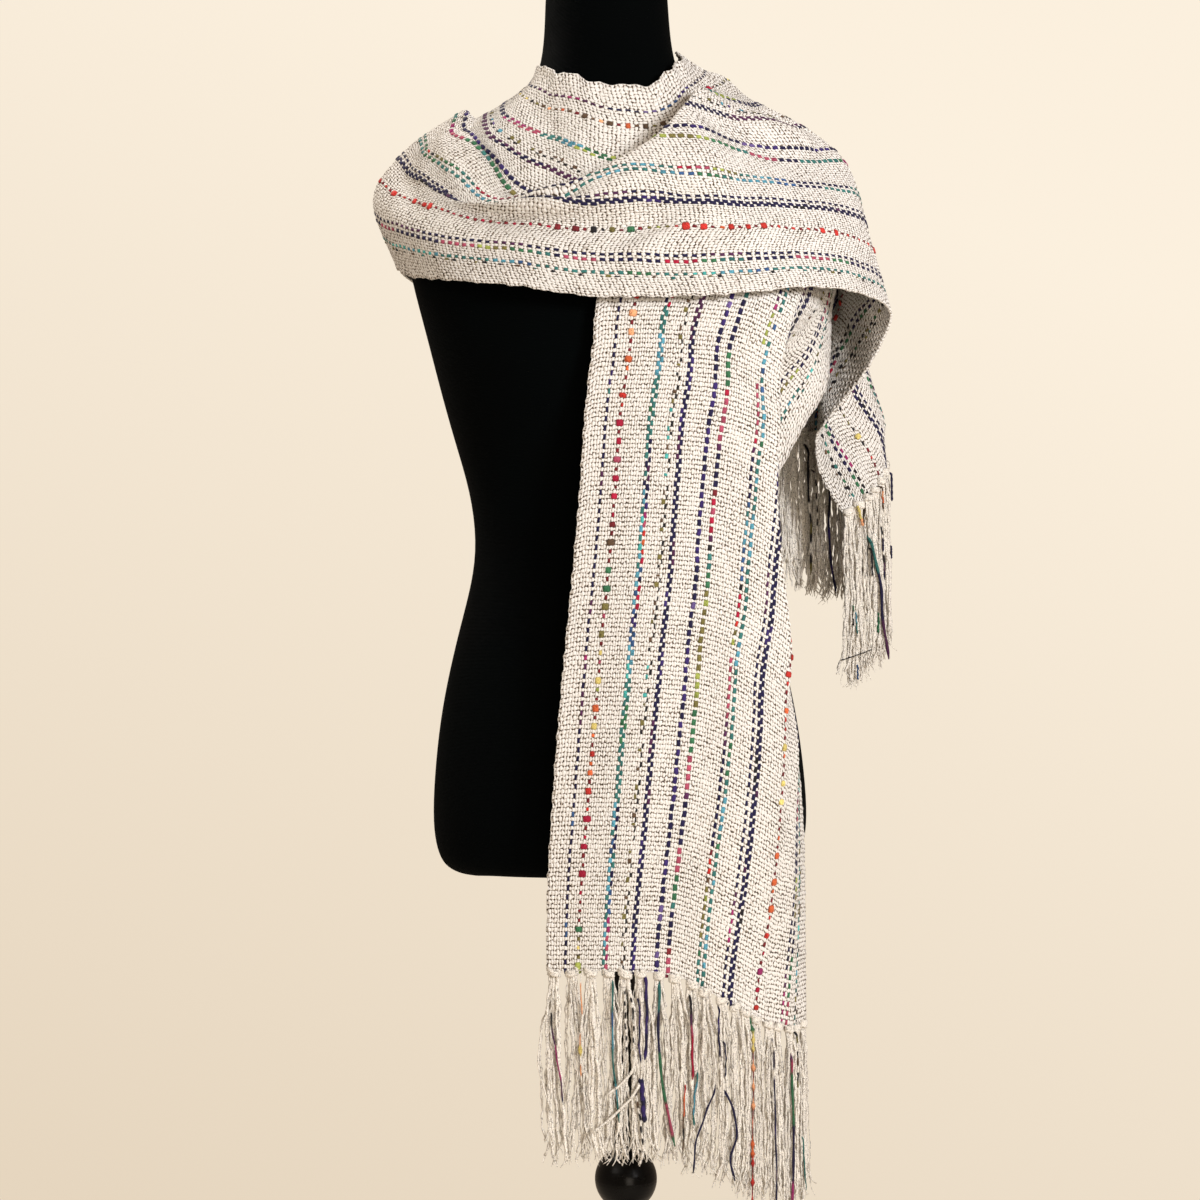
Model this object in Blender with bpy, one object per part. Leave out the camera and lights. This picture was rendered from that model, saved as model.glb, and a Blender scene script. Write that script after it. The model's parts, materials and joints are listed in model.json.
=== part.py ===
"""A handwoven scarf draped over a limbless dress form on a turned stand.

The frame is +Z up with its origin on the floor, at the centre of the stand's foot. The form
faces -Y, and +X is on the viewer's right. Tables are in centimetres and the model is in metres.

One length of cloth goes up the front, over the form's left shoulder, round the back of the neck,
across the chest and over the same shoulder again, where its short end hangs down. Each stretch
that shows is a closed wall, lofted through the rows of a table. A row is one section across the
cloth, from the selvedge that lies against the neck to the outer selvedge.
"""

import math
from typing import Callable, NamedTuple

import bmesh
import bpy
import numpy as np

CM = 0.01

# Cloth
CLOTH_THICKNESS = 0.20  # cm, the woven wall
FOLD_RADIUS = 0.30  # cm, of the cloth's middle where it folds back on itself
SEAM = 0.04  # cm between two stretches, and between a hem and its fringe
UNDER_GAP = 0.50  # cm at least, from the form to the middle of cloth that lies on it
OVER_GAP = 1.25  # the same for cloth that lies on another layer
SNUG_GAP = 0.65  # cm at most, for cloth that another layer presses down
SNUG_REACH = 2.6  # cm further out than that, over which the pressing fades away

# Fringe
FRINGE_THICKNESS = 0.7  # cm, the reach of the hanging bundles
FRINGE_START = 0.16  # cm below the middle of the hem's cut edge
FRONT_FRINGE_LENGTH = (16.0, 15.2)  # cm, at the neck selvedge and at the outer one
TAIL_FRINGE_LENGTH = (15.0, 13.2)

# Dress form
FORM_POWER = 2.2  # 2 is an ellipse, and more is squarer
FORM_SIDES = 36
NECK_TOP = 154.5

# Stand, all round and turned about the Z axis
POLE_RADIUS = 1.15
BALL_RADIUS = 2.86
BALL_HEIGHT = 43.4
BALL_FLAT = 1.3  # cm, the radius of the flats on its top and bottom
TORSO_BOTTOM = 72.0
FOOT_RADIUS = 17.0
FOOT_TOP = 2.4
ROUND_SIDES = 28
GAP = 0.03  # cm between pieces that touch


class FormRing(NamedTuple):
    """One level section of the dress form."""

    height: float
    half_width: float
    front: float
    back: float


FORM_RINGS = [
    FormRing(72.0, 14.9, 9.2, 9.6),
    FormRing(72.5, 16.1, 10.1, 10.6),
    FormRing(73.6, 16.8, 10.8, 11.3),
    FormRing(75.8, 17.25, 11.2, 11.8),
    FormRing(79.2, 17.2, 11.3, 12.5),
    FormRing(84.7, 16.65, 10.8, 12.0),
    FormRing(89.3, 15.8, 10.3, 11.0),
    FormRing(94.4, 14.5, 9.6, 9.8),
    FormRing(98.5, 13.3, 9.2, 9.0),
    FormRing(102.2, 12.8, 9.2, 8.8),
    FormRing(106.8, 13.3, 9.8, 9.2),
    FormRing(111.5, 14.7, 11.0, 9.8),
    FormRing(116.5, 16.0, 12.4, 10.4),
    FormRing(121.6, 17.2, 13.1, 11.0),
    FormRing(126.2, 18.4, 12.6, 11.4),
    FormRing(130.0, 19.0, 11.2, 11.5),
    FormRing(134.0, 19.0, 9.5, 10.8),
    FormRing(136.2, 18.3, 8.5, 10.2),
    FormRing(137.8, 16.9, 7.8, 9.6),
    FormRing(139.5, 13.6, 6.8, 8.5),
    FormRing(141.5, 9.8, 6.0, 7.5),
    FormRing(143.5, 7.2, 5.6, 6.6),
    FormRing(146.0, 6.05, 5.5, 6.0),
    FormRing(150.0, 5.7, 5.4, 5.6),
    FormRing(153.8, 5.6, 5.4, 5.4),
]


class HangingRow(NamedTuple):
    """A section of the front panel where it hangs: heights of both selvedges, and plan points."""

    inner_height: float
    outer_height: float
    selvedge: tuple
    left: tuple
    middle: tuple
    right: tuple
    edge: tuple
    turn: tuple
    flap: tuple


# Low on the panel the cloth wraps to the side of the hip. Higher up it folds back on itself at
# the edge, and near the chest its flap swings out to the side again.
HANGING_ROWS = [
    HangingRow(65.0, 58.6, (-6.6, -14.0), (-1.2, -14.7), (4.2, -13.9), (8.6, -13.2), (12.2, -10.6),
               (14.7, -7.9), (16.3, -4.9)),
    HangingRow(72.0, 66.5, (-6.4, -14.0), (-1.1, -14.7), (4.4, -14.0), (9.0, -13.4), (12.6, -11.0),
               (14.9, -8.4), (16.3, -5.6)),
    HangingRow(80.0, 76.5, (-5.8, -14.0), (-0.4, -14.6), (5.0, -14.1), (9.8, -13.6), (13.2, -12.0),
               (15.1, -10.2), (16.1, -7.6)),
    HangingRow(86.5, 84.0, (-5.2, -14.0), (0.1, -14.5), (5.4, -14.1), (10.2, -13.6), (13.9, -12.3),
               (15.9, -10.2), (15.3, -8.3)),
    HangingRow(93.0, 91.0, (-4.5, -13.9), (0.6, -14.4), (5.8, -14.1), (10.8, -13.5), (15.4, -11.3),
               (15.0, -9.2), (11.4, -8.6)),
    HangingRow(100.0, 99.0, (-3.7, -13.8), (1.1, -14.3), (6.0, -14.1), (10.6, -13.4), (14.7, -12.1),
               (13.4, -10.6), (8.4, -10.0)),
    HangingRow(107.0, 106.4, (-3.0, -13.8), (1.6, -14.2), (6.2, -14.0), (10.5, -13.5),
               (14.1, -12.4), (9.6, -10.6), (13.7, -6.4)),
    HangingRow(112.0, 112.0, (-2.6, -13.8), (1.9, -14.1), (6.3, -14.0), (10.4, -13.6),
               (14.0, -12.4), (10.8, -10.2), (17.0, -4.6)),
    HangingRow(115.5, 115.5, (-2.2, -13.8), (2.2, -14.1), (6.5, -14.0), (10.6, -13.6),
               (14.1, -12.4), (12.2, -10.0), (19.2, -3.4)),
    HangingRow(119.0, 119.0, (-1.7, -13.8), (2.8, -14.1), (7.2, -14.0), (11.4, -13.6),
               (14.8, -12.4), (15.2, -9.8), (19.7, -3.0)),
    HangingRow(122.6, 122.6, (-1.3, -13.7), (3.4, -14.1), (8.2, -13.9), (12.8, -13.2),
               (16.0, -11.7), (18.2, -8.0), (19.9, -2.8)),
]


class ShoulderRow(NamedTuple):
    """A section of the cloth that goes over the shoulder or round the upper back."""

    neck: tuple
    collar: tuple
    slope: tuple
    shoulder: tuple
    blade: tuple
    drop: tuple
    hem: tuple


# Facets between each two points of a section, where a fold takes three points in place of one.
# Each kind of section has the same number of facets in all.
HANGING_FOLDS = ("edge", "turn")
HANGING_FACETS = (3, 3, 3, 2, 1, 1, 2, 1, 1, 3)
SHOULDER_FACETS = (3, 3, 3, 3, 4, 4)

OVER_SHOULDER_ROWS = [
    ShoulderRow((0.4, -12.4, 128.0), (5.0, -12.6, 128.0), (9.6, -11.9, 127.6), (13.8, -10.4, 127.2),
                (17.0, -8.2, 126.8), (19.3, -5.0, 126.2), (20.5, -1.8, 125.0)),
    ShoulderRow((2.4, -10.2, 134.0), (6.6, -9.4, 134.6), (10.6, -8.4, 134.4), (14.4, -7.2, 133.6),
                (17.6, -5.4, 132.4), (19.9, -3.0, 129.8), (20.9, -0.6, 126.4)),
    ShoulderRow((4.6, -6.8, 139.6), (8.0, -5.9, 139.4), (11.4, -5.2, 138.2), (14.8, -4.4, 136.9),
                (17.9, -3.0, 135.4), (20.2, -1.4, 131.8), (21.1, 0.0, 127.0)),
    ShoulderRow((6.5, 0.3, 144.8), (9.4, 0.3, 142.6), (12.2, 0.3, 140.7), (15.2, 0.3, 139.1),
                (18.2, 0.3, 137.2), (20.6, 0.4, 132.8), (21.3, 0.6, 127.0)),
]

BACK_ROWS = [
    ShoulderRow((6.0, 3.6, 144.2), (8.6, 4.8, 141.6), (11.4, 6.0, 138.8), (14.2, 7.0, 135.6),
                (16.2, 8.0, 131.4), (16.6, 8.6, 126.6), (15.0, 8.9, 121.8)),
    ShoulderRow((4.2, 6.1, 144.0), (5.8, 8.2, 140.4), (7.6, 10.2, 136.4), (9.2, 11.6, 131.6),
                (10.6, 11.9, 126.2), (11.6, 11.6, 120.8), (12.2, 11.0, 115.6)),
    ShoulderRow((0.0, 7.0, 143.4), (0.0, 9.0, 139.6), (0.0, 11.0, 135.2), (0.0, 12.1, 130.2),
                (0.0, 12.1, 125.0), (0.0, 11.8, 119.8), (0.0, 11.4, 114.8)),
    ShoulderRow((-4.2, 6.1, 144.4), (-5.8, 8.2, 140.9), (-7.6, 10.2, 136.8), (-9.2, 11.6, 131.9),
                (-10.6, 11.9, 126.8), (-11.6, 11.7, 121.8), (-12.2, 11.2, 117.2)),
    ShoulderRow((-6.2, 3.2, 145.4), (-8.6, 4.4, 142.4), (-11.4, 5.4, 139.9), (-14.4, 6.2, 137.0),
                (-17.0, 7.0, 133.4), (-17.9, 7.3, 129.0), (-16.4, 7.6, 124.8)),
]


class ChestRow(NamedTuple):
    """A section of the band across the chest. Between tuck and ridge the cloth folds back up."""

    neck: tuple
    collar: tuple
    cowl: tuple
    tuck: tuple
    ridge: tuple
    swell: tuple
    belly: tuple
    skirt: tuple
    hem: tuple


CHEST_FOLDS = ("tuck", "ridge")
CHEST_FACETS = (3, 2, 2, 1, 1, 1, 1, 1, 2, 2, 2, 2)

CHEST_ROWS = [
    ChestRow((-6.3, 0.2, 146.0), (-7.9, 0.2, 143.3), (-10.3, -0.8, 140.8), (-11.5, -1.0, 140.2),
             (-13.4, -0.6, 141.6), (-16.7, 0.2, 139.6), (-19.4, 0.2, 137.3), (-21.5, 0.2, 133.4),
             (-19.5, 0.2, 127.4)),
    ChestRow((-4.7, -4.8, 144.2), (-6.2, -5.3, 141.1), (-8.4, -6.0, 137.8), (-9.8, -6.3, 136.4),
             (-11.9, -6.3, 137.0), (-14.8, -5.4, 136.9), (-17.9, -4.2, 134.8), (-19.9, -4.8, 131.4),
             (-18.0, -5.4, 126.0)),
    ChestRow((-3.2, -6.2, 143.6), (-4.1, -7.5, 140.1), (-5.7, -8.6, 136.0), (-7.3, -9.3, 133.8),
             (-9.7, -9.6, 133.3), (-12.3, -9.6, 133.1), (-14.2, -9.4, 131.8), (-14.8, -10.2, 128.6),
             (-14.2, -10.9, 124.8)),
    ChestRow((-2.1, -6.6, 143.1), (-2.4, -8.5, 139.5), (-3.5, -10.1, 134.4), (-5.0, -12.2, 130.6),
             (-6.4, -12.9, 132.0), (-7.2, -13.6, 130.2), (-7.7, -13.3, 129.0), (-8.3, -13.6, 127.2),
             (-8.4, -14.0, 123.8)),
    ChestRow((-0.8, -6.8, 142.5), (-0.7, -8.9, 138.9), (-1.2, -10.5, 134.6), (-1.8, -12.9, 130.2),
             (-2.4, -13.9, 132.9), (-2.3, -14.8, 131.0), (-2.4, -14.3, 128.7), (-2.4, -14.6, 126.2),
             (-2.5, -14.9, 122.7)),
    ChestRow((1.2, -6.8, 142.4), (1.6, -8.9, 138.6), (1.8, -10.4, 135.4), (1.6, -13.0, 130.6),
             (1.5, -14.0, 134.8), (2.0, -15.1, 132.0), (2.5, -14.7, 128.6), (2.4, -15.0, 126.0),
             (2.3, -15.2, 122.5)),
    ChestRow((3.3, -6.4, 142.2), (3.6, -8.6, 138.4), (4.1, -9.8, 136.6), (4.6, -12.4, 132.2),
             (4.3, -13.2, 136.7), (5.4, -14.7, 132.6), (6.8, -14.6, 128.8), (7.1, -15.0, 126.0),
             (7.5, -15.3, 122.5)),
    ChestRow((4.6, -5.2, 143.2), (5.6, -7.6, 139.7), (6.3, -8.4, 138.4), (7.1, -10.8, 136.4),
             (6.6, -11.3, 139.5), (8.6, -13.2, 134.6), (11.1, -13.9, 129.0), (11.6, -14.4, 126.1),
             (12.0, -14.9, 122.8)),
    ChestRow((5.2, -4.0, 144.3), (6.7, -5.0, 142.9), (7.5, -5.9, 141.7), (8.1, -6.9, 140.4),
             (8.4, -7.0, 141.8), (10.8, -7.8, 138.6), (14.0, -10.2, 132.8), (16.2, -12.2, 126.9),
             (16.8, -13.2, 123.4)),
    ChestRow((6.0, -1.5, 146.0), (8.2, -2.2, 144.4), (9.3, -2.3, 143.8), (10.5, -2.4, 143.0),
             (11.9, -2.7, 142.0), (15.6, -3.4, 138.9), (19.2, -5.2, 134.6), (21.1, -7.9, 127.9),
             (21.8, -9.2, 123.3)),
    ChestRow((6.4, 1.0, 147.2), (9.2, 1.4, 145.3), (11.2, 1.4, 144.5), (13.2, 1.2, 142.4),
             (15.4, 1.0, 140.6), (19.4, 0.8, 138.4), (22.2, -0.6, 135.0), (23.6, -3.2, 128.2),
             (25.1, -4.5, 122.0)),
]


class TailRow(NamedTuple):
    """A section of the short end, which turns under at its fold and hangs behind the shoulder."""

    neck: tuple
    collar: tuple
    back: tuple
    round_back: tuple
    side: tuple
    front: tuple
    lower: tuple
    hem: tuple


TAIL_FACETS = (4, 3, 3, 2, 3, 2, 3)

TAIL_ROWS = [
    TailRow((7.2, 3.4, 145.6), (13.0, 4.2, 140.6), (17.8, 4.4, 136.4), (20.4, 4.2, 131.8),
            (21.2, 3.6, 127.6), (21.6, 2.4, 123.9), (22.6, 0.5, 120.8), (23.5, -1.5, 117.8)),
    TailRow((8.4, 5.6, 142.8), (13.6, 7.2, 138.0), (18.2, 7.6, 133.4), (20.8, 7.2, 128.6),
            (21.2, 5.6, 124.4), (20.4, 3.4, 121.2), (21.0, 2.0, 118.2), (21.6, 0.5, 115.2)),
    TailRow((9.8, 8.4, 138.6), (15.0, 9.8, 133.6), (19.8, 10.4, 128.8), (22.2, 9.4, 124.8),
            (22.2, 6.8, 121.2), (20.2, 4.2, 118.4), (19.4, 2.9, 115.6), (19.7, 2.0, 112.8)),
    TailRow((12.2, 10.4, 132.6), (16.8, 11.8, 128.8), (21.6, 11.4, 124.4), (24.0, 9.8, 121.2),
            (23.7, 7.2, 118.6), (21.7, 5.8, 116.2), (20.0, 4.7, 113.8), (19.0, 3.8, 111.4)),
    TailRow((14.2, 11.6, 126.4), (18.3, 12.4, 122.4), (22.3, 12.4, 118.8), (24.8, 11.0, 116.2),
            (25.8, 8.0, 113.8), (24.4, 5.9, 112.0), (22.0, 5.1, 110.4), (19.3, 4.6, 108.7)),
    TailRow((15.2, 11.2, 120.6), (18.8, 11.9, 117.8), (22.6, 12.0, 115.2), (24.9, 11.0, 113.2),
            (25.9, 8.2, 111.4), (25.1, 6.1, 109.8), (23.0, 5.2, 107.6), (20.4, 4.8, 105.8)),
    TailRow((15.8, 9.4, 114.0), (19.2, 10.8, 112.4), (23.0, 11.2, 110.8), (24.9, 10.6, 109.8),
            (25.9, 8.4, 108.6), (25.6, 6.4, 107.0), (24.0, 5.2, 105.0), (21.5, 4.6, 103.4)),
]


def smooth_step(value: float) -> float:
    """Ease from 0 to 1."""
    value = min(max(value, 0.0), 1.0)
    return value * value * (3.0 - 2.0 * value)


def spline(points: np.ndarray, steps: int) -> np.ndarray:
    """Pass a smooth curve through points, with so many steps between each two of them."""
    padded = np.vstack([2 * points[0] - points[1], points, 2 * points[-1] - points[-2]])
    curve = []
    for i in range(1, len(padded) - 2):
        before, start, end, after = padded[i - 1:i + 3]
        for step in range(steps):
            t = step / steps
            curve.append(0.5 * (2 * start + (end - before) * t
                                + (2 * before - 5 * start + 4 * end - after) * t ** 2
                                + (3 * start - before - 3 * end + after) * t ** 3))
    curve.append(points[-1])
    return np.array(curve)


def evenly(curve: np.ndarray, count: int) -> np.ndarray:
    """Return count + 1 points at equal distances along a curve."""
    travelled = np.concatenate([[0], np.cumsum(np.linalg.norm(np.diff(curve, axis=0), axis=1))])
    wanted = np.linspace(0, travelled[-1], count + 1)
    return np.column_stack([np.interp(wanted, travelled, curve[:, axis]) for axis in range(3)])


FORM_TABLE = np.array(FORM_RINGS)


def form_level(point: np.ndarray) -> float:
    """Return 1 on the form's surface, less inside it and more outside it."""
    height = min(max(point[2], TORSO_BOTTOM), NECK_TOP)
    half_width, front, back = (np.interp(height, FORM_TABLE[:, 0], FORM_TABLE[:, column])
                               for column in (1, 2, 3))
    depth = front if point[1] < 0 else back
    level = (abs(point[0]) / half_width) ** FORM_POWER + (abs(point[1]) / depth) ** FORM_POWER
    return level ** (1 / FORM_POWER)


def form_slope(point: np.ndarray) -> np.ndarray:
    """Return how form_level grows along each axis."""
    step = 0.25
    return np.array([(form_level(point + step * axis) - form_level(point - step * axis)) / (2 * step)
                     for axis in np.eye(3)])


def gap_and_way_out(point: np.ndarray) -> tuple:
    """Return a point's distance from the form, and the direction away from the form."""
    slope = form_slope(point)
    steepness = np.linalg.norm(slope)
    return (form_level(point) - 1) / steepness, slope / steepness


def settle(point: np.ndarray, nearest: float, snug: bool) -> np.ndarray:
    """Move a point of the cloth out to its nearest distance from the form, or press it snug."""
    gap, _ = gap_and_way_out(point)
    wanted = max(gap, nearest)
    if snug and gap > SNUG_GAP:
        beyond = gap - SNUG_GAP
        wanted = SNUG_GAP + beyond * smooth_step(beyond / SNUG_REACH)
    if wanted == gap:
        return point
    for _ in range(6):
        gap, way_out = gap_and_way_out(point)
        point = point + (wanted - gap) * way_out
    return point


def round_folds(section: NamedTuple, points: list, folds: tuple) -> list:
    """Put three points for each named fold, so that the cloth turns round a small radius."""
    rounded = []
    for i, (name, point) in enumerate(zip(section._fields[-len(points):], points)):
        point = np.array(point)
        if name not in folds:
            rounded.append(point)
            continue
        back = np.array(points[i - 1]) - point
        ahead = np.array(points[i + 1]) - point
        back /= np.linalg.norm(back)
        ahead /= np.linalg.norm(ahead)
        across = FOLD_RADIUS * (ahead - back) / np.linalg.norm(ahead - back)
        inward = FOLD_RADIUS * (ahead + back) / 2
        rounded += [point + inward - across, point, point + inward + across]
    return rounded


def cross_points(section: list) -> np.ndarray:
    """Return a section's points, with its kind's number of facets between its named points."""
    kinds = (HANGING_FACETS, SHOULDER_FACETS, CHEST_FACETS, TAIL_FACETS)
    facets = next(kind for kind in kinds if len(kind) == len(section) - 1)
    steps = 6
    curve = spline(np.array(section), steps)
    points = [curve[:1]]
    for span, count in enumerate(facets):
        points.append(evenly(curve[span * steps:(span + 1) * steps + 1], count)[1:])
    return np.concatenate(points)


def loft(sections: list, stretches: list) -> list:
    """Return a grid of points for each stretch of one long cloth.

    Args:
        sections: every section of the cloth, in order along it.
        stretches: for each stretch, the number of its sections' spans and its rows of facets.
    """
    steps = 8
    across = np.array([cross_points(section) for section in sections])
    lines = [spline(across[:, column], steps) for column in range(across.shape[1])]
    grids = []
    first = 0
    for spans, rows in stretches:
        last = first + spans * steps
        grid = np.array([evenly(line[first:last + 1], rows) for line in lines])
        grids.append(grid.transpose(1, 0, 2))
        first = last
    return grids


def grid_normals(grid: np.ndarray) -> np.ndarray:
    """Return the unit normal at each point of a grid."""
    across = np.gradient(grid, axis=1)
    along = np.gradient(grid, axis=0)
    normals = np.cross(across, along)
    return normals / np.linalg.norm(normals, axis=2, keepdims=True)


def wall_mesh(name: str, grid: np.ndarray, normals: np.ndarray, thickness: float):
    """Make a closed wall of a thickness about a grid of points in centimetres."""
    offset = 0.5 * thickness * normals
    rows, columns = grid.shape[:2]
    mesh = bmesh.new()
    faces = [[[mesh.verts.new(point * CM) for point in row] for row in side]
             for side in (grid + offset, grid - offset)]
    outer, inner = faces
    for i in range(rows - 1):
        for j in range(columns - 1):
            mesh.faces.new((outer[i][j], outer[i][j + 1], outer[i + 1][j + 1], outer[i + 1][j]))
            mesh.faces.new((inner[i][j], inner[i + 1][j], inner[i + 1][j + 1], inner[i][j + 1]))
    rim = ([(0, j) for j in range(columns)] + [(i, columns - 1) for i in range(1, rows)]
           + [(rows - 1, j) for j in range(columns - 2, -1, -1)]
           + [(i, 0) for i in range(rows - 2, 0, -1)])
    for here, there in zip(rim, rim[1:] + rim[:1]):
        mesh.faces.new((outer[there[0]][there[1]], outer[here[0]][here[1]],
                        inner[here[0]][here[1]], inner[there[0]][there[1]]))
    return finish_mesh(name, mesh)


def finish_mesh(name: str, mesh: bmesh.types.BMesh) -> bpy.types.Object:
    """Turn a bmesh into a named object with triangles, smooth shading and faces pointing out."""
    bmesh.ops.triangulate(mesh, faces=mesh.faces)
    bmesh.ops.recalc_face_normals(mesh, faces=mesh.faces)
    data = bpy.data.meshes.new(name)
    mesh.to_mesh(data)
    mesh.free()
    data.shade_smooth()
    data.set_sharp_from_angle(angle=math.radians(40))
    thing = bpy.data.objects.new(name, data)
    bpy.context.collection.objects.link(thing)
    return thing


def hanging_section(row: HangingRow) -> list:
    """Give a hanging section's plan points their heights, from one selvedge to the other."""
    plan = row[2:]
    drop = row.outer_height - row.inner_height
    points = [(x, y, row.inner_height + drop * smooth_step((i / (len(plan) - 1) - 0.22) / 0.6))
              for i, (x, y) in enumerate(plan)]
    return round_folds(row, points, HANGING_FOLDS)


def chest_section(row: ChestRow) -> list:
    """Give a section of the band its rounded folds."""
    return round_folds(row, list(row), CHEST_FOLDS)


def over_gap(point: np.ndarray) -> float:
    """Return the least gap of an upper layer, which meets the bare neck above the lower one."""
    return UNDER_GAP + (OVER_GAP - UNDER_GAP) * smooth_step((147.0 - point[2]) / 2.0)


def settle_panel(point: np.ndarray) -> np.ndarray:
    """The panel is pressed on to the shoulder by the band over it."""
    return settle(point, UNDER_GAP, snug=point[2] > 126.0)


def settle_back(point: np.ndarray) -> np.ndarray:
    """The wrap round the back is pressed by the tail on one side."""
    return settle(point, UNDER_GAP, snug=point[0] > -1.5)


def settle_band(point: np.ndarray) -> np.ndarray:
    """The band lies on the form on one side, and on the panel from the middle on."""
    over_panel = smooth_step((point[0] + 6.0) / 4.0)
    return settle(point, UNDER_GAP + (over_gap(point) - UNDER_GAP) * over_panel, snug=False)


def settle_tail(point: np.ndarray) -> np.ndarray:
    """The tail lies on the wrap round the back."""
    return settle(point, over_gap(point), snug=False)


class Stretch(NamedTuple):
    """One stretch of the cloth: its name, its rows of facets, and how its points settle."""

    name: str
    rows: int
    settle: Callable


STRETCHES = [
    Stretch("scarf_front_panel", 34, settle_panel),
    Stretch("scarf_back_wrap", 20, settle_back),
    Stretch("scarf_chest_band", 38, settle_band),
    Stretch("scarf_tail", 20, settle_tail),
]


def scarf() -> dict:
    """Return each stretch's grid of points and its normals, from one loft along the cloth."""
    parts = [[hanging_section(row) for row in HANGING_ROWS] + OVER_SHOULDER_ROWS,
             BACK_ROWS + [chest_section(CHEST_ROWS[0])],
             [chest_section(row) for row in CHEST_ROWS[1:]], TAIL_ROWS]
    spans = [len(parts[0]) - 1] + [len(part) for part in parts[1:]]
    grids = loft(sum(parts, []), [(span, stretch.rows) for span, stretch in zip(spans, STRETCHES)])
    grids = [np.array([[stretch.settle(point) for point in line] for line in grid])
             for grid, stretch in zip(grids, STRETCHES)]
    whole = np.concatenate([grids[0]] + [grid[1:] for grid in grids[1:]])
    whole_normals = grid_normals(whole)
    stretches = {}
    first = 0
    for grid, stretch in zip(grids, STRETCHES):
        normals = whole_normals[first:first + stretch.rows + 1]
        first += stretch.rows
        seams = [(0, 1)] * (stretch is not STRETCHES[0]) + [(-1, -2)] * (stretch is not STRETCHES[-1])
        for end, inward in seams:
            step = grid[inward] - grid[end]
            grid[end] += SEAM * step / np.linalg.norm(step, axis=1, keepdims=True)
        stretches[stretch.name] = (grid, normals)
    return stretches


def fringe(name: str, hem: np.ndarray, lengths: tuple, rows: int) -> bpy.types.Object:
    """Hang a plain wall of a fringe's reach below a hem.

    Args:
        name: the object's name.
        hem: points along the hem, from the neck selvedge to the outer one.
        lengths: the fringe's length at each end of the hem.
        rows: facets down the fringe.
    """
    share = np.linspace(0, 1, len(hem))[:, None]
    length = lengths[0] + (lengths[1] - lengths[0]) * share
    down = np.array([0.0, 0.0, -1.0])
    grid = np.array([hem + down * (FRINGE_START + length * step / rows) for step in range(rows + 1)])
    return wall_mesh(name, grid, grid_normals(grid), FRINGE_THICKNESS)


def dress_form() -> bpy.types.Object:
    """Make the limbless form, from its flat underside to the top of its neck."""
    mesh = bmesh.new()
    loops = []
    top = FORM_RINGS[-1]
    cap = FormRing(NECK_TOP, top.half_width - 0.7, top.front - 0.7, top.back - 0.7)
    for ring in FORM_RINGS + [cap]:
        loop = []
        for side in range(FORM_SIDES):
            angle = 2 * math.pi * side / FORM_SIDES
            cosine, sine = math.cos(angle), math.sin(angle)
            depth = ring.back if sine > 0 else ring.front
            x = math.copysign(abs(cosine) ** (2 / FORM_POWER), cosine) * ring.half_width
            y = math.copysign(abs(sine) ** (2 / FORM_POWER), sine) * depth
            loop.append(mesh.verts.new((x * CM, y * CM, ring.height * CM)))
        loops.append(loop)
    for lower, upper in zip(loops, loops[1:]):
        for i in range(FORM_SIDES):
            j = (i + 1) % FORM_SIDES
            mesh.faces.new((lower[i], lower[j], upper[j], upper[i]))
    mesh.faces.new(loops[0])
    mesh.faces.new(loops[-1])
    return finish_mesh("form_torso", mesh)


def turned(name: str, profile: list) -> bpy.types.Object:
    """Turn a profile of (radius, height) pairs in centimetres about the Z axis."""
    mesh = bmesh.new()
    outline = [mesh.verts.new((radius * CM, 0, height * CM)) for radius, height in profile]
    edges = [mesh.edges.new(pair) for pair in zip(outline, outline[1:])]
    bmesh.ops.spin(mesh, geom=outline + edges, cent=(0, 0, 0), axis=(0, 0, 1),
                   angle=2 * math.pi, steps=ROUND_SIDES, use_merge=False)
    bmesh.ops.remove_doubles(mesh, verts=mesh.verts, dist=0.00001)
    return finish_mesh(name, mesh)


def stand() -> list:
    """Make the stand: a pole into the form, a ball, a turned column and a round foot."""
    reach = math.sqrt(BALL_RADIUS ** 2 - BALL_FLAT ** 2)
    ball_bottom, ball_top = BALL_HEIGHT - reach, BALL_HEIGHT + reach
    bend = math.asin(reach / BALL_RADIUS)
    ball = [(BALL_RADIUS * math.cos(angle), BALL_HEIGHT + BALL_RADIUS * math.sin(angle))
            for angle in np.linspace(-bend, bend, 13)]
    column = [(0, FOOT_TOP), (3.4, FOOT_TOP), (3.4, 3.4), (2.5, 4.6), (2.1, 8.0), (2.0, 32.0),
              (2.2, 36.5), (2.7, 37.6), (2.2, 38.6), (1.4, 39.6), (1.4, ball_bottom - GAP),
              (0, ball_bottom - GAP)]
    foot = [(0, 0), (FOOT_RADIUS - 0.3, 0), (FOOT_RADIUS, 0.4), (FOOT_RADIUS, 1.4),
            (FOOT_RADIUS - 0.8, 2.0), (3.6, FOOT_TOP - GAP), (0, FOOT_TOP - GAP)]
    pole = [(0, ball_top + GAP), (POLE_RADIUS, ball_top + GAP), (POLE_RADIUS, TORSO_BOTTOM - GAP),
            (0, TORSO_BOTTOM - GAP)]
    return [turned("stand_pole", pole),
            turned("stand_ball", [(0, ball_bottom)] + ball + [(0, ball_top)]),
            turned("stand_column", column), turned("stand_foot", foot)]


def give_material(thing: bpy.types.Object, colour: tuple, roughness: float) -> None:
    """Give an object its own plain material."""
    material = bpy.data.materials.new(thing.name + "_material")
    material.use_nodes = True
    shader = material.node_tree.nodes["Principled BSDF"]
    shader.inputs["Base Color"].default_value = (*colour, 1.0)
    shader.inputs["Roughness"].default_value = roughness
    shader.inputs["Metallic"].default_value = 0.0
    thing.data.materials.append(material)


CREAM = (0.86, 0.82, 0.74)
BLACK_CLOTH = (0.012, 0.012, 0.014)
BLACK_PAINT = (0.010, 0.010, 0.011)


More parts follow.
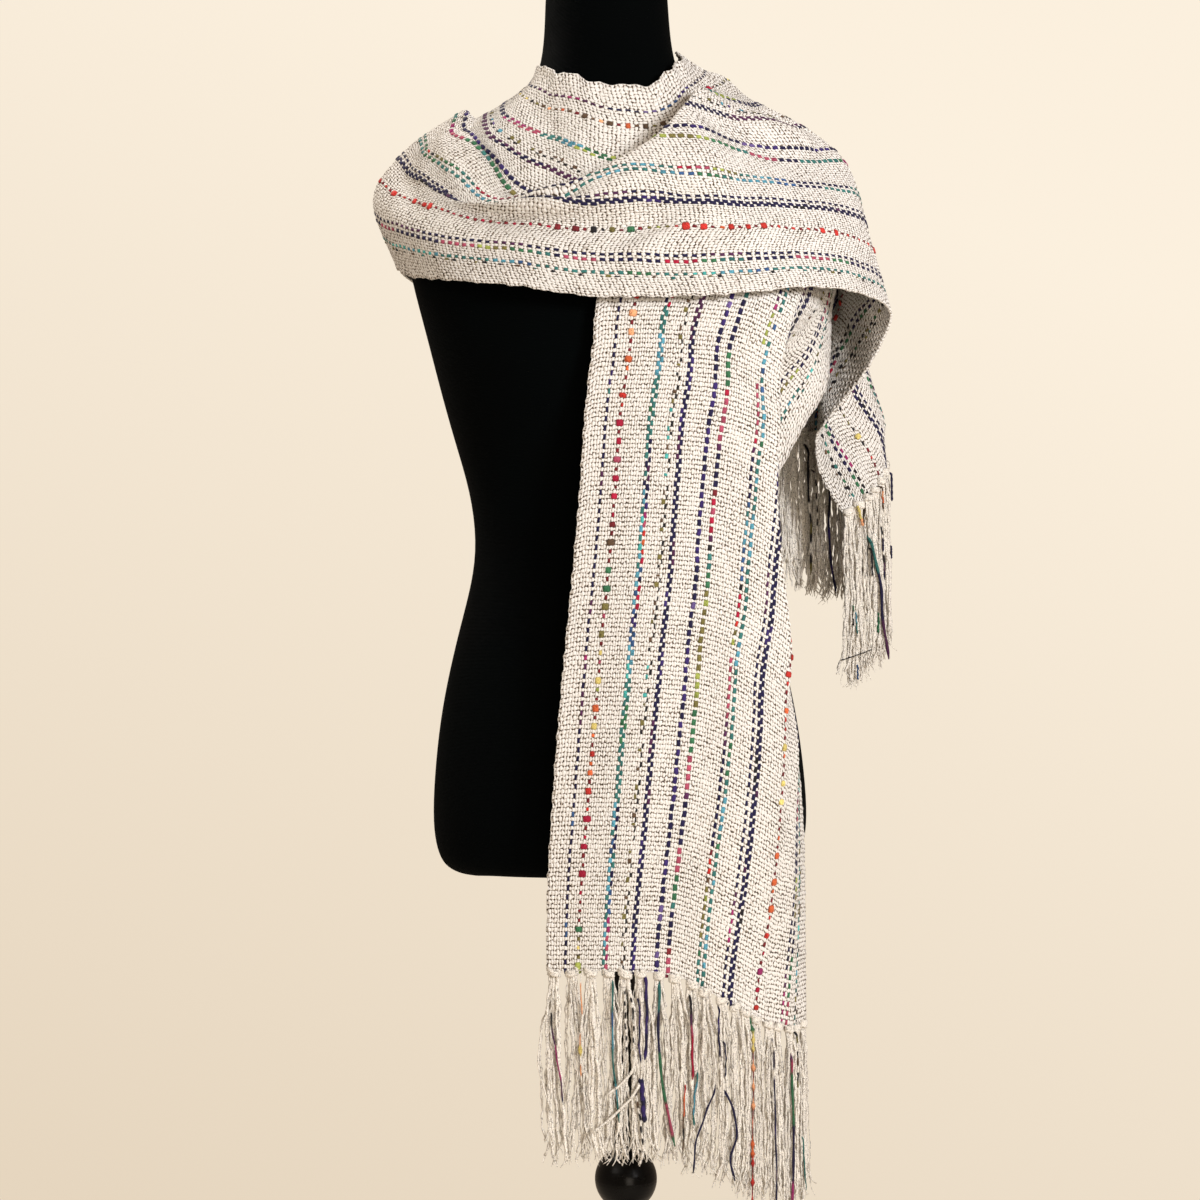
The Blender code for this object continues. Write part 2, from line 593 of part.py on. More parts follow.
def main() -> None:
    """Build every piece."""
    for thing in list(bpy.data.objects):
        bpy.data.objects.remove(thing, do_unlink=True)
    stretches = scarf()
    for name, (grid, normals) in stretches.items():
        give_material(wall_mesh(name, grid, normals, CLOTH_THICKNESS), CREAM, 0.9)
    fringes = [
        fringe("fringe_front", stretches["scarf_front_panel"][0][0], FRONT_FRINGE_LENGTH, 3),
        fringe("fringe_tail", stretches["scarf_tail"][0][-1], TAIL_FRINGE_LENGTH, 3),
    ]
    for thing in fringes:
        give_material(thing, CREAM, 0.9)
    give_material(dress_form(), BLACK_CLOTH, 0.85)
    for thing in stand():
        give_material(thing, BLACK_PAINT, 0.3)


main()
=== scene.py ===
"""A handwoven scarf on a black dress form: its cloth, yarns, fringes, finishes, light and camera.

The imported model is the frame, +Z up, with the origin on the floor under the stand. The cloth is
one length that goes up the front, over the shoulder, round the back of the neck, across the chest
and over the same shoulder again. Tables of the cloth are in centimetres, and everything that
Blender gets is in metres. Every stretch is a closed woven wall, and its coloured warp yarns lie
on it as floats, one for each pick that they pass over.
"""

import json
import logging
import math
import re
from dataclasses import dataclass, field
from enum import Enum
from typing import Callable, NamedTuple

import bpy
import numpy as np
from bpy.types import Material, Node, NodeSocket, Object, World
from mathutils import Matrix, Vector

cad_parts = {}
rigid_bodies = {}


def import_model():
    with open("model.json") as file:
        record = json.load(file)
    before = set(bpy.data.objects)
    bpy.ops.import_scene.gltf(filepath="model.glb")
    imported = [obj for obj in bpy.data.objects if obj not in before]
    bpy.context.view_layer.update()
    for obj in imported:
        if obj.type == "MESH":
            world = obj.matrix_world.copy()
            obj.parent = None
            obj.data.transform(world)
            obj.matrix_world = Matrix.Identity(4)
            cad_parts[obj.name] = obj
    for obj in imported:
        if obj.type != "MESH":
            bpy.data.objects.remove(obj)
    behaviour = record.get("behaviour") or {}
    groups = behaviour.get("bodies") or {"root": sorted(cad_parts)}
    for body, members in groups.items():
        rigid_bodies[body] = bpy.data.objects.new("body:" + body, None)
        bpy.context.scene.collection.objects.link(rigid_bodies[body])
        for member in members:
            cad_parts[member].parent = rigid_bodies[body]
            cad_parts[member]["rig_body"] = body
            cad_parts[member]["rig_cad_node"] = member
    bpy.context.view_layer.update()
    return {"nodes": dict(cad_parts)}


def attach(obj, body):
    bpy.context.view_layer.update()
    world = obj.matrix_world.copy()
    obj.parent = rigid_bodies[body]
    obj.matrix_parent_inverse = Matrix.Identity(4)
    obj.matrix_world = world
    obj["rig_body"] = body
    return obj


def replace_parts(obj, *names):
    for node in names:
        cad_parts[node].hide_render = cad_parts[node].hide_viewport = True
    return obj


LOG = logging.getLogger("scarf")
CM = 0.01
BODY = "root"

# The model's own sizes, in centimetres
FOLD_RADIUS = 0.30  # of the cloth's middle where it folds back on itself
UNDER_GAP = 0.50  # at least, from the form to the middle of cloth that lies on it
OVER_GAP = 1.25  # the same for cloth that lies on another layer
SNUG_GAP = 0.65  # at most, for cloth that another layer presses down
SNUG_REACH = 2.6  # further out than that, over which the pressing fades away
FORM_POWER = 2.2  # 2 is an ellipse, and more is squarer
TORSO_BOTTOM = 72.0

# Where the layers change, in centimetres, and over how far
NECK_HEIGHT, NECK_BLEND = 147.0, 2.0  # below it the upper layer lies on a lower one
HUG_HEIGHT, HUG_BLEND, HUG_DEPTH = 142.0, 2.5, 0.2  # above it the cloth hugs the form's neck
PANEL_SIDE, PANEL_BLEND = -6.0, 4.0  # from here across, the band lies on the panel
TAIL_SIDE = -1.5  # from here across, the tail presses on the wrap
PRESSED_HEIGHT = 126.0  # above it the band presses on the panel


class FormRing(NamedTuple):
    """One level section of the dress form."""

    height: float
    half_width: float
    front: float
    back: float


FORM_RINGS = [
    FormRing(72.0, 14.9, 9.2, 9.6),
    FormRing(72.5, 16.1, 10.1, 10.6),
    FormRing(73.6, 16.8, 10.8, 11.3),
    FormRing(75.8, 17.25, 11.2, 11.8),
    FormRing(79.2, 17.2, 11.3, 12.5),
    FormRing(84.7, 16.65, 10.8, 12.0),
    FormRing(89.3, 15.8, 10.3, 11.0),
    FormRing(94.4, 14.5, 9.6, 9.8),
    FormRing(98.5, 13.3, 9.2, 9.0),
    FormRing(102.2, 12.8, 9.2, 8.8),
    FormRing(106.8, 13.3, 9.8, 9.2),
    FormRing(111.5, 14.7, 11.0, 9.8),
    FormRing(116.5, 16.0, 12.4, 10.4),
    FormRing(121.6, 17.2, 13.1, 11.0),
    FormRing(126.2, 18.4, 12.6, 11.4),
    FormRing(130.0, 19.0, 11.2, 11.5),
    FormRing(134.0, 19.0, 9.5, 10.8),
    FormRing(136.2, 18.3, 8.5, 10.2),
    FormRing(137.8, 16.9, 7.8, 9.6),
    FormRing(139.5, 13.6, 6.8, 8.5),
    FormRing(141.5, 9.8, 6.0, 7.5),
    FormRing(143.5, 7.2, 5.6, 6.6),
    FormRing(146.0, 6.05, 5.5, 6.0),
    FormRing(150.0, 5.7, 5.4, 5.6),
    FormRing(153.8, 5.6, 5.4, 5.4),
]


class HangingRow(NamedTuple):
    """A section of the front panel where it hangs: heights of both selvedges, and plan points."""

    inner_height: float
    outer_height: float
    selvedge: tuple
    left: tuple
    middle: tuple
    right: tuple
    edge: tuple
    turn: tuple
    flap: tuple


# Low on the panel the cloth wraps to the side of the hip. Higher up it folds back on itself at
# the edge, and near the chest its flap swings out to the side again.
HANGING_ROWS = [
    HangingRow(65.0, 58.6, (-6.6, -14.0), (-1.2, -14.7), (4.2, -13.9), (8.6, -13.2), (12.2, -10.6),
               (14.7, -7.9), (16.3, -4.9)),
    HangingRow(72.0, 66.5, (-6.4, -14.0), (-1.1, -14.7), (4.4, -14.0), (9.0, -13.4), (12.6, -11.0),
               (14.9, -8.4), (16.3, -5.6)),
    HangingRow(80.0, 76.5, (-5.8, -14.0), (-0.4, -14.6), (5.0, -14.1), (9.8, -13.6), (13.2, -12.0),
               (15.1, -10.2), (16.1, -7.6)),
    HangingRow(86.5, 84.0, (-5.2, -14.0), (0.1, -14.5), (5.4, -14.1), (10.2, -13.6), (13.8, -12.3),
               (15.5, -10.3), (15.1, -8.3)),
    HangingRow(93.0, 91.0, (-4.5, -13.9), (0.6, -14.4), (5.8, -14.1), (10.8, -13.5), (14.7, -11.5),
               (14.4, -9.6), (11.0, -8.8)),
    HangingRow(100.0, 99.0, (-3.7, -13.8), (1.1, -14.3), (6.0, -14.1), (10.6, -13.4), (14.1, -12.2),
               (13.0, -10.7), (8.1, -10.1)),
    HangingRow(107.0, 106.4, (-3.0, -13.8), (1.6, -14.2), (6.2, -14.0), (10.5, -13.5),
               (13.7, -12.5), (9.4, -10.7), (13.7, -6.4)),
    HangingRow(112.0, 112.0, (-2.6, -13.8), (1.9, -14.1), (6.3, -14.0), (10.4, -13.6),
               (14.0, -12.4), (10.8, -10.2), (17.0, -4.6)),
    HangingRow(115.5, 115.5, (-2.2, -13.8), (2.2, -14.1), (6.5, -14.0), (10.6, -13.6),
               (14.1, -12.4), (12.2, -10.0), (19.2, -3.4)),
    HangingRow(119.0, 119.0, (-1.7, -13.8), (2.8, -14.1), (7.2, -14.0), (11.4, -13.6),
               (14.8, -12.4), (15.2, -9.8), (19.7, -3.0)),
    HangingRow(122.6, 122.6, (-1.3, -13.7), (3.4, -14.1), (8.2, -13.9), (12.8, -13.2),
               (16.0, -11.7), (18.2, -8.0), (19.9, -2.8)),
]


class ShoulderRow(NamedTuple):
    """A section of the cloth that goes over the shoulder or round the upper back."""

    neck: tuple
    collar: tuple
    slope: tuple
    shoulder: tuple
    blade: tuple
    drop: tuple
    hem: tuple


# Facets between each two points of a section, where a fold takes three points in place of one.
# Each kind of section has the same number of facets in all.
HANGING_FOLDS = ("edge", "turn")
HANGING_FACETS = (3, 3, 3, 2, 1, 1, 2, 1, 1, 3)
SHOULDER_FACETS = (3, 3, 3, 3, 4, 4)

OVER_SHOULDER_ROWS = [
    ShoulderRow((0.4, -12.4, 128.0), (5.0, -12.6, 128.0), (9.6, -11.9, 127.6), (13.8, -10.4, 127.2),
                (17.0, -8.2, 126.8), (19.3, -5.0, 126.2), (20.5, -1.8, 125.0)),
    ShoulderRow((2.4, -10.2, 134.0), (6.6, -9.4, 134.6), (10.6, -8.4, 134.4), (14.4, -7.2, 133.6),
                (17.6, -5.4, 132.4), (19.9, -3.0, 129.8), (20.9, -0.6, 126.4)),
    ShoulderRow((4.6, -6.8, 139.6), (8.0, -5.9, 139.4), (11.4, -5.2, 138.2), (14.8, -4.4, 136.9),
                (17.9, -3.0, 135.4), (20.2, -1.4, 131.8), (21.1, 0.0, 127.0)),
    ShoulderRow((6.5, 0.3, 144.8), (9.4, 0.3, 142.6), (12.2, 0.3, 140.7), (15.2, 0.3, 139.1),
                (18.2, 0.3, 137.2), (20.6, 0.4, 132.8), (21.3, 0.6, 127.0)),
]

BACK_ROWS = [
    ShoulderRow((6.0, 3.6, 144.2), (8.6, 4.8, 141.6), (11.4, 6.0, 138.8), (14.2, 7.0, 135.6),
                (16.2, 8.0, 131.4), (16.6, 8.6, 126.6), (15.0, 8.9, 121.8)),
    ShoulderRow((4.2, 6.1, 144.0), (5.8, 8.2, 140.4), (7.6, 10.2, 136.4), (9.2, 11.6, 131.6),
                (10.6, 11.9, 126.2), (11.6, 11.6, 120.8), (12.2, 11.0, 115.6)),
    ShoulderRow((0.0, 7.0, 143.4), (0.0, 9.0, 139.6), (0.0, 11.0, 135.2), (0.0, 12.1, 130.2),
                (0.0, 12.1, 125.0), (0.0, 11.8, 119.8), (0.0, 11.4, 114.8)),
    ShoulderRow((-4.2, 6.1, 144.4), (-5.8, 8.2, 140.9), (-7.6, 10.2, 136.8), (-9.2, 11.6, 131.9),
                (-10.6, 11.9, 126.8), (-11.6, 11.7, 121.8), (-12.2, 11.2, 117.2)),
    ShoulderRow((-6.2, 3.2, 145.4), (-8.6, 4.4, 142.4), (-11.4, 5.4, 139.9), (-14.4, 6.2, 137.0),
                (-17.0, 7.0, 133.4), (-17.9, 7.3, 129.0), (-16.4, 7.6, 124.8)),
]


class ChestRow(NamedTuple):
    """A section of the band across the chest. Between tuck and ridge the cloth folds back up."""

    neck: tuple
    collar: tuple
    cowl: tuple
    tuck: tuple
    ridge: tuple
    swell: tuple
    belly: tuple
    skirt: tuple
    hem: tuple


CHEST_FOLDS = ("tuck", "ridge")
CHEST_FACETS = (3, 2, 2, 1, 1, 1, 1, 1, 2, 2, 2, 2)

CHEST_ROWS = [
    ChestRow((-5.9, 0.2, 145.8), (-7.7, 0.2, 143.3), (-10.3, -0.8, 140.8), (-11.5, -1.0, 140.2),
             (-13.4, -0.6, 141.6), (-16.7, 0.2, 139.6), (-19.4, 0.2, 137.3), (-21.5, 0.2, 133.4),
             (-19.5, 0.2, 127.4)),
    ChestRow((-4.6, -4.6, 144.2), (-6.1, -5.3, 141.1), (-8.4, -6.0, 137.8), (-9.8, -6.3, 136.4),
             (-11.9, -6.3, 137.0), (-14.8, -5.4, 136.9), (-17.9, -4.2, 134.8), (-19.9, -4.8, 131.4),
             (-18.0, -5.4, 126.0)),
    ChestRow((-3.2, -6.2, 143.6), (-4.1, -7.5, 140.1), (-5.7, -8.6, 136.0), (-8.2, -9.0, 132.3),
             (-10.1, -9.9, 132.2), (-12.2, -9.7, 132.2), (-13.9, -9.5, 131.0), (-14.8, -10.2, 128.4),
             (-14.2, -10.9, 124.8)),
    ChestRow((-2.1, -6.6, 143.1), (-2.4, -8.5, 139.5), (-3.5, -10.1, 134.4), (-5.0, -12.2, 130.6),
             (-6.4, -12.9, 132.0), (-7.2, -13.6, 130.2), (-7.7, -13.3, 129.0), (-8.3, -13.6, 127.2),
             (-8.4, -14.0, 123.8)),
    ChestRow((-0.8, -6.8, 142.5), (-0.7, -8.9, 138.9), (-1.2, -10.5, 134.6), (-1.8, -12.9, 130.2),
             (-2.4, -13.9, 132.9), (-2.3, -14.8, 131.0), (-2.4, -14.3, 128.7), (-2.4, -14.6, 126.2),
             (-2.5, -14.9, 122.7)),
    ChestRow((1.2, -6.8, 142.4), (1.6, -8.9, 138.6), (1.8, -10.4, 135.4), (1.6, -13.0, 130.6),
             (1.5, -14.0, 134.8), (2.0, -15.1, 132.0), (2.5, -14.7, 128.6), (2.4, -15.0, 126.0),
             (2.3, -15.2, 122.5)),
    ChestRow((3.3, -6.4, 142.2), (3.6, -8.6, 138.4), (4.1, -9.8, 136.6), (4.6, -12.4, 132.2),
             (4.3, -13.2, 136.7), (5.4, -14.7, 132.6), (6.8, -14.6, 128.8), (7.1, -15.0, 126.0),
             (7.5, -15.3, 122.5)),
    ChestRow((4.6, -5.2, 143.2), (5.6, -7.6, 139.7), (6.3, -8.4, 138.4), (7.1, -10.8, 136.4),
             (6.6, -11.3, 139.5), (8.6, -13.2, 134.6), (11.1, -13.9, 129.0), (11.6, -14.4, 126.1),
             (12.0, -14.9, 122.8)),
    ChestRow((5.2, -4.0, 144.3), (6.7, -5.0, 142.9), (7.5, -5.9, 141.7), (8.1, -6.9, 140.4),
             (8.4, -7.0, 141.8), (10.8, -7.8, 138.6), (14.0, -10.2, 132.8), (16.2, -12.2, 126.9),
             (16.8, -13.2, 123.4)),
    ChestRow((6.0, -1.5, 146.0), (8.2, -2.2, 144.4), (9.3, -2.3, 143.8), (10.5, -2.4, 143.0),
             (11.9, -2.7, 142.0), (15.6, -3.4, 138.9), (19.2, -5.2, 134.6), (21.1, -7.9, 127.9),
             (21.8, -9.2, 123.3)),
    ChestRow((6.4, 1.0, 147.2), (9.2, 1.4, 145.3), (11.2, 1.4, 144.5), (13.2, 1.2, 142.4),
             (15.4, 1.0, 140.6), (19.4, 0.8, 138.4), (22.2, -0.6, 135.0), (23.6, -3.2, 128.2),
             (25.1, -4.5, 122.0)),
]


class TailRow(NamedTuple):
    """A section of the short end, which turns under at its fold and hangs behind the shoulder."""

    neck: tuple
    collar: tuple
    back: tuple
    round_back: tuple
    side: tuple
    front: tuple
    lower: tuple
    hem: tuple


TAIL_FACETS = (4, 3, 3, 2, 3, 2, 3)

TAIL_ROWS = [
    TailRow((7.2, 3.4, 145.6), (13.0, 4.2, 140.6), (17.8, 4.4, 136.4), (20.4, 4.2, 131.8),
            (21.2, 3.6, 127.6), (21.6, 2.4, 123.9), (22.6, 0.5, 120.8), (23.5, -1.5, 117.8)),
    TailRow((8.4, 5.6, 142.8), (13.6, 7.2, 138.0), (18.2, 7.6, 133.4), (20.8, 7.2, 128.6),
            (21.2, 5.6, 124.4), (20.4, 3.4, 121.2), (21.0, 2.0, 118.2), (21.6, 0.5, 115.2)),
    TailRow((9.8, 8.4, 138.6), (15.0, 9.8, 133.6), (19.8, 10.4, 128.8), (22.2, 9.4, 124.8),
            (22.2, 6.8, 121.2), (20.2, 4.2, 118.4), (19.4, 2.9, 115.6), (19.7, 2.0, 112.8)),
    TailRow((12.2, 10.4, 132.6), (16.8, 11.8, 128.8), (21.6, 11.4, 124.4), (24.0, 9.8, 121.2),
            (23.7, 7.2, 118.6), (21.7, 5.8, 116.2), (20.0, 4.7, 113.8), (19.0, 3.8, 111.4)),
    TailRow((14.2, 11.6, 126.4), (18.3, 12.4, 122.4), (22.3, 12.4, 118.8), (24.8, 11.0, 116.2),
            (25.8, 8.0, 113.8), (24.4, 5.9, 112.0), (22.0, 5.1, 110.4), (19.3, 4.6, 108.7)),
    TailRow((15.2, 11.2, 120.6), (18.8, 11.9, 117.8), (22.6, 12.0, 115.4), (24.9, 11.0, 113.6),
            (25.9, 8.2, 111.9), (25.1, 6.1, 110.3), (23.0, 5.2, 108.2), (20.4, 4.8, 106.4)),
    TailRow((15.8, 9.4, 114.0), (19.2, 10.8, 112.6), (23.0, 11.2, 111.4), (24.9, 10.6, 110.8),
            (25.9, 8.4, 109.7), (25.6, 6.4, 108.1), (24.0, 5.2, 106.1), (21.5, 4.6, 104.5)),
]


class SlideRow(NamedTuple):
    """How far warp ends lie from even spacing in one row, in hundredths of the cloth's width.

    The columns are named for the end's own place in hundredths of the width, and the selvedges
    never slide.
    """

    at: float  # stretches from the front hem, so 2.5 is half way along the band
    end_10: float
    end_30: float
    end_45: float
    end_60: float
    end_75: float
    end_87: float


SLIDE_ENDS = (0.0, 0.10, 0.30, 0.45, 0.60, 0.75, 0.87, 1.0)

SLIDES = (
    SlideRow(0.00, -1.2, -5.8, -8.2, -9.4, -7.5, -2.6),
    SlideRow(0.05, -0.8, -4.8, -7.0, -7.8, -5.5, -0.5),
    SlideRow(0.13, 0, -3, -4.4, -4.6, -0.4, 2.6),
    SlideRow(0.24, 0.7, -1.3, -1.4, -0.4, 2.2, 3.2),
    SlideRow(0.35, 0.7, -0.3, -0.5, 0.3, 1.5, 2),
    SlideRow(0.47, 0.2, -1.4, -2, -0.6, 0.5, 1),
    SlideRow(0.58, -0.1, -2.4, -3, -2, -1, 0),
    SlideRow(0.70, -0.2, -3.5, -5.7, -7.5, -6, -3),
    SlideRow(0.85, 0, -2, -3, -4, -3, -1.5),
    SlideRow(1.00, 0, 0, 0, 0, 0, 0),
    SlideRow(1.50, 0, 0, 0, 0, 0, 0),
    SlideRow(1.80, -2, -4, -5, -4, -3, -3),
    SlideRow(2.00, -4, -7, -8, -6, -6, -4.5),
    SlideRow(2.10, 1.6, 1, 1.5, -1, -4, -4),
    SlideRow(2.18, 3, 4, 1.2, 2.6, -3, -3),
    SlideRow(2.28, 4, 6, 9, 8, -1, -2),
    SlideRow(2.40, 4.5, 8, 9, 6, 1, -0.5),
    SlideRow(2.50, 4.5, 7, 6, 5, 3, 1.5),
    SlideRow(2.60, 4, 6, 5, 6, 2.5, 2.5),
    SlideRow(2.70, 4, 6, 7.5, 7, 4, 3),
    SlideRow(2.85, 4, 6, 10, 7, 5, 3.5),
    SlideRow(3.00, 4.5, 10, 12, 10, 7.5, 4.5),
    SlideRow(3.15, 3, 8, 9, 6, 3, 0.5),
    SlideRow(3.42, 1.5, 2, 0, -4, -9.5, -9),
    SlideRow(3.53, 1, 1, 0, -3, -7, -5),
    SlideRow(3.68, 0.5, 1.5, 1.5, 1.5, 2, 2),
    SlideRow(4.00, 0, 0, 0, 0, 0, 0),
)


@dataclass(frozen=True)
class Weave:
    """The woven structure, in centimetres."""

    width: float = 28.0
    pick: float = 0.395  # from one weft pick to the next
    end: float = 0.25  # from one warp end to the next
    thickness: float = 0.20
    relief: float = 0.042  # how far a weft float stands out, and an interlacing lies in
    scallop: float = 0.07  # how far the weft's turns stand out at the selvedges

    @property
    def ends(self) -> int:
        """Return the number of warp ends."""
        return round(self.width / self.end)


WEAVE = Weave()
CURVE_STEPS = 12  # steps of a smooth curve between each two of its points


def smooth_step(value: np.ndarray) -> np.ndarray:
    """Ease from 0 to 1."""
    value = np.clip(value, 0.0, 1.0)
    return value * value * (3.0 - 2.0 * value)


def spline(points: np.ndarray, steps: int = CURVE_STEPS) -> np.ndarray:
    """Pass a smooth curve through points.

    Args:
        points: the points, of any number of values each, along the first axis.
        steps: the number of steps between each two points.

    Returns:
        The curve's points, along the first axis.
    """
    padded = np.concatenate([2 * points[:1] - points[1:2], points, 2 * points[-1:] - points[-2:-1]])
    t = (np.arange(steps) / steps).reshape(-1, *[1] * (points.ndim - 1))
    curve = []
    for before, start, end, after in zip(padded, padded[1:], padded[2:], padded[3:]):
        curve.append(0.5 * (2 * start + (end - before) * t
                            + (2 * before - 5 * start + 4 * end - after) * t ** 2
                            + (3 * start - before - 3 * end + after) * t ** 3))
    return np.concatenate(curve + [points[-1:]])


def travelled(curve: np.ndarray) -> np.ndarray:
    """Return the distance along a curve at each of its points."""
    return np.concatenate([[0.0], np.cumsum(np.linalg.norm(np.diff(curve, axis=0), axis=1))])


def read_columns(where: np.ndarray, known: np.ndarray, table: np.ndarray) -> np.ndarray:
    """Read each column of a table between its rows, which stand at known places."""
    return np.stack([np.interp(where, known, column) for column in table.T], axis=-1)


def at_distances(curve: np.ndarray, wanted: np.ndarray) -> np.ndarray:
    """Return the points of a curve at distances given as shares of its length."""
    distance = travelled(curve)
    return read_columns(wanted * distance[-1], distance, curve)


def unit(vectors: np.ndarray) -> np.ndarray:
    """Return vectors at a length of one."""
    return vectors / np.maximum(np.linalg.norm(vectors, axis=-1, keepdims=True), 1e-9)


class FormShape:
    """The dress form's smooth surface, which the cloth settles on."""

    LEVELS = 400
    SLOPE_STEP = 0.25
    ROUNDS = 6  # of moving the cloth, each nearer to its wanted distance

    def __init__(self) -> None:
        """Refine the table of rings."""
        heights = np.linspace(FORM_RINGS[0].height, FORM_RINGS[-1].height, self.LEVELS)
        dense = spline(np.array(FORM_RINGS))
        self.rings = read_columns(heights, dense[:, 0], dense)

    def level(self, points: np.ndarray) -> np.ndarray:
        """Tell which side of the surface points are on.

        Args:
            points: the points, in centimetres.

        Returns:
            1 for each point on the surface, less inside it and more outside it.
        """
        half_width, front, back = (np.interp(points[..., 2], self.rings[:, 0], self.rings[:, column])
                                   for column in (1, 2, 3))
        depth = np.where(points[..., 1] < 0, front, back)
        level = (np.abs(points[..., 0] / half_width) ** FORM_POWER
                 + np.abs(points[..., 1] / depth) ** FORM_POWER)
        return level ** (1 / FORM_POWER)

    def gap_and_way_out(self, points: np.ndarray) -> tuple:
        """Measure how far points are from the form.

        Args:
            points: the points, in centimetres.

        Returns:
            Each point's distance from the form, and the direction away from the form.
        """
        step = self.SLOPE_STEP
        slope = np.stack([(self.level(points + step * axis) - self.level(points - step * axis))
                          / (2 * step) for axis in np.eye(3)], axis=-1)
        steepness = np.linalg.norm(slope, axis=-1)
        return (self.level(points) - 1) / steepness, slope / steepness[..., None]

    def settle(self, points: np.ndarray, nearest: np.ndarray, snug: np.ndarray) -> np.ndarray:
        """Move points of the cloth out to their nearest distance, or press them snug.

        Args:
            points: the points, in centimetres.
            nearest: each point's least distance from the form.
            snug: whether another layer presses on each point.

        Returns:
            The settled points.
        """
        gap, _ = self.gap_and_way_out(points)
        beyond = np.maximum(gap - SNUG_GAP, 0.0)
        pressed = SNUG_GAP + beyond * smooth_step(beyond / SNUG_REACH)
        wanted = np.where(snug & (gap > SNUG_GAP), pressed, np.maximum(gap, nearest))
        moves = (wanted != gap)[..., None]
        for _ in range(self.ROUNDS):
            gap, way_out = self.gap_and_way_out(points)
            points = points + moves * (wanted - gap)[..., None] * way_out
        return points


FORM = FormShape()


def over_gap(points: np.ndarray) -> np.ndarray:
    """Return the least gap of an upper layer, which meets the bare neck above the lower one."""
    return UNDER_GAP + (OVER_GAP - UNDER_GAP) * smooth_step((NECK_HEIGHT - points[..., 2])
                                                             / NECK_BLEND)


def under_gap(points: np.ndarray) -> np.ndarray:
    """Return the least gap of cloth that lies on the form, which it hugs at the neck."""
    return UNDER_GAP - HUG_DEPTH * smooth_step((points[..., 2] - HUG_HEIGHT) / HUG_BLEND)


def settle_panel(points: np.ndarray) -> np.ndarray:
    """Press the panel on to the shoulder, under the band."""
    return FORM.settle(points, np.full(points.shape[:-1], UNDER_GAP), points[..., 2] > PRESSED_HEIGHT)


def settle_back(points: np.ndarray) -> np.ndarray:
    """Press the wrap round the back on one side, under the tail."""
    return FORM.settle(points, under_gap(points), points[..., 0] > TAIL_SIDE)


def settle_band(points: np.ndarray) -> np.ndarray:
    """Lay the band on the form on one side, and on the panel from the middle on.

    Args:
        points: the band's points, in centimetres.

    Returns:
        The settled points.
    """
    over_panel = smooth_step((points[..., 0] - PANEL_SIDE) / PANEL_BLEND)
    nearest = under_gap(points)
    nearest = nearest + (over_gap(points) - nearest) * over_panel
    return FORM.settle(points, nearest, np.zeros(points.shape[:-1], bool))


def settle_tail(points: np.ndarray) -> np.ndarray:
    """Lay the tail on the wrap round the back."""
    return FORM.settle(points, over_gap(points), np.zeros(points.shape[:-1], bool))


def round_folds(section: NamedTuple, points: list, folds: tuple) -> list:
    """Turn the cloth round a small radius at each named fold.

    Args:
        section: the row of the table that the points come from.
        points: its points, in order.
        folds: the names of the points where the cloth folds back on itself.

    Returns:
        The points, with three in place of each fold.
    """
    rounded = []
    for i, (name, point) in enumerate(zip(section._fields[-len(points):], points)):
        point = np.array(point)
        if name not in folds:
            rounded.append(point)
            continue
        back, ahead = unit(np.array(points[i - 1]) - point), unit(np.array(points[i + 1]) - point)
        across = FOLD_RADIUS * unit(ahead - back)
        inward = FOLD_RADIUS * (ahead + back) / 2
        rounded += [point + inward - across, point, point + inward + across]
    return rounded


DROP_START, DROP_REACH = 0.22, 0.6  # share of the way across a hanging section, and over how far


def hanging_section(row: HangingRow) -> list:
    """Give a hanging section's plan points their heights, from one selvedge to the other.

    Args:
        row: the section's two heights and its plan points.

    Returns:
        Its points, with its folds rounded.
    """
    plan = row[2:]
    drop = row.outer_height - row.inner_height
    shares = smooth_step((np.arange(len(plan)) / (len(plan) - 1) - DROP_START) / DROP_REACH)
    points = [(x, y, row.inner_height + drop * share) for (x, y), share in zip(plan, shares)]
    return round_folds(row, points, HANGING_FOLDS)


def chest_section(row: ChestRow) -> list:
    """Give a section of the band its rounded folds."""
    return round_folds(row, list(row), CHEST_FOLDS)


FINENESS = 6  # scene columns for each facet of a section


def cross_points(section: list) -> np.ndarray:
    """Spread points across a section, between its named points as the model spreads them.

    Args:
        section: the section's points, from the neck selvedge to the outer one.

    Returns:
        The points, FINENESS of them for each facet.
    """
    kinds = (HANGING_FACETS, SHOULDER_FACETS, CHEST_FACETS, TAIL_FACETS)
    facets = next(kind for kind in kinds if len(kind) == len(section) - 1)
    steps = 2 * CURVE_STEPS
    curve = spline(np.array(section), steps)
    points = [curve[:1]]
    for span, count in enumerate(facets):
        shares = np.linspace(0, 1, count * FINENESS + 1)[1:]
        points.append(at_distances(curve[span * steps:(span + 1) * steps + 1], shares))
    return np.concatenate(points)


class Crease(NamedTuple):
    """A soft ridge, or a trough where its height is less than nothing, along the cloth's face."""

    start_at: float  # stretches from the front hem
    start_share: float  # of the width, from the neck selvedge
    end_at: float
    end_share: float
    half_width: float
    height: float
    lean: float = 0.0  # how far its top leans over towards the neck selvedge


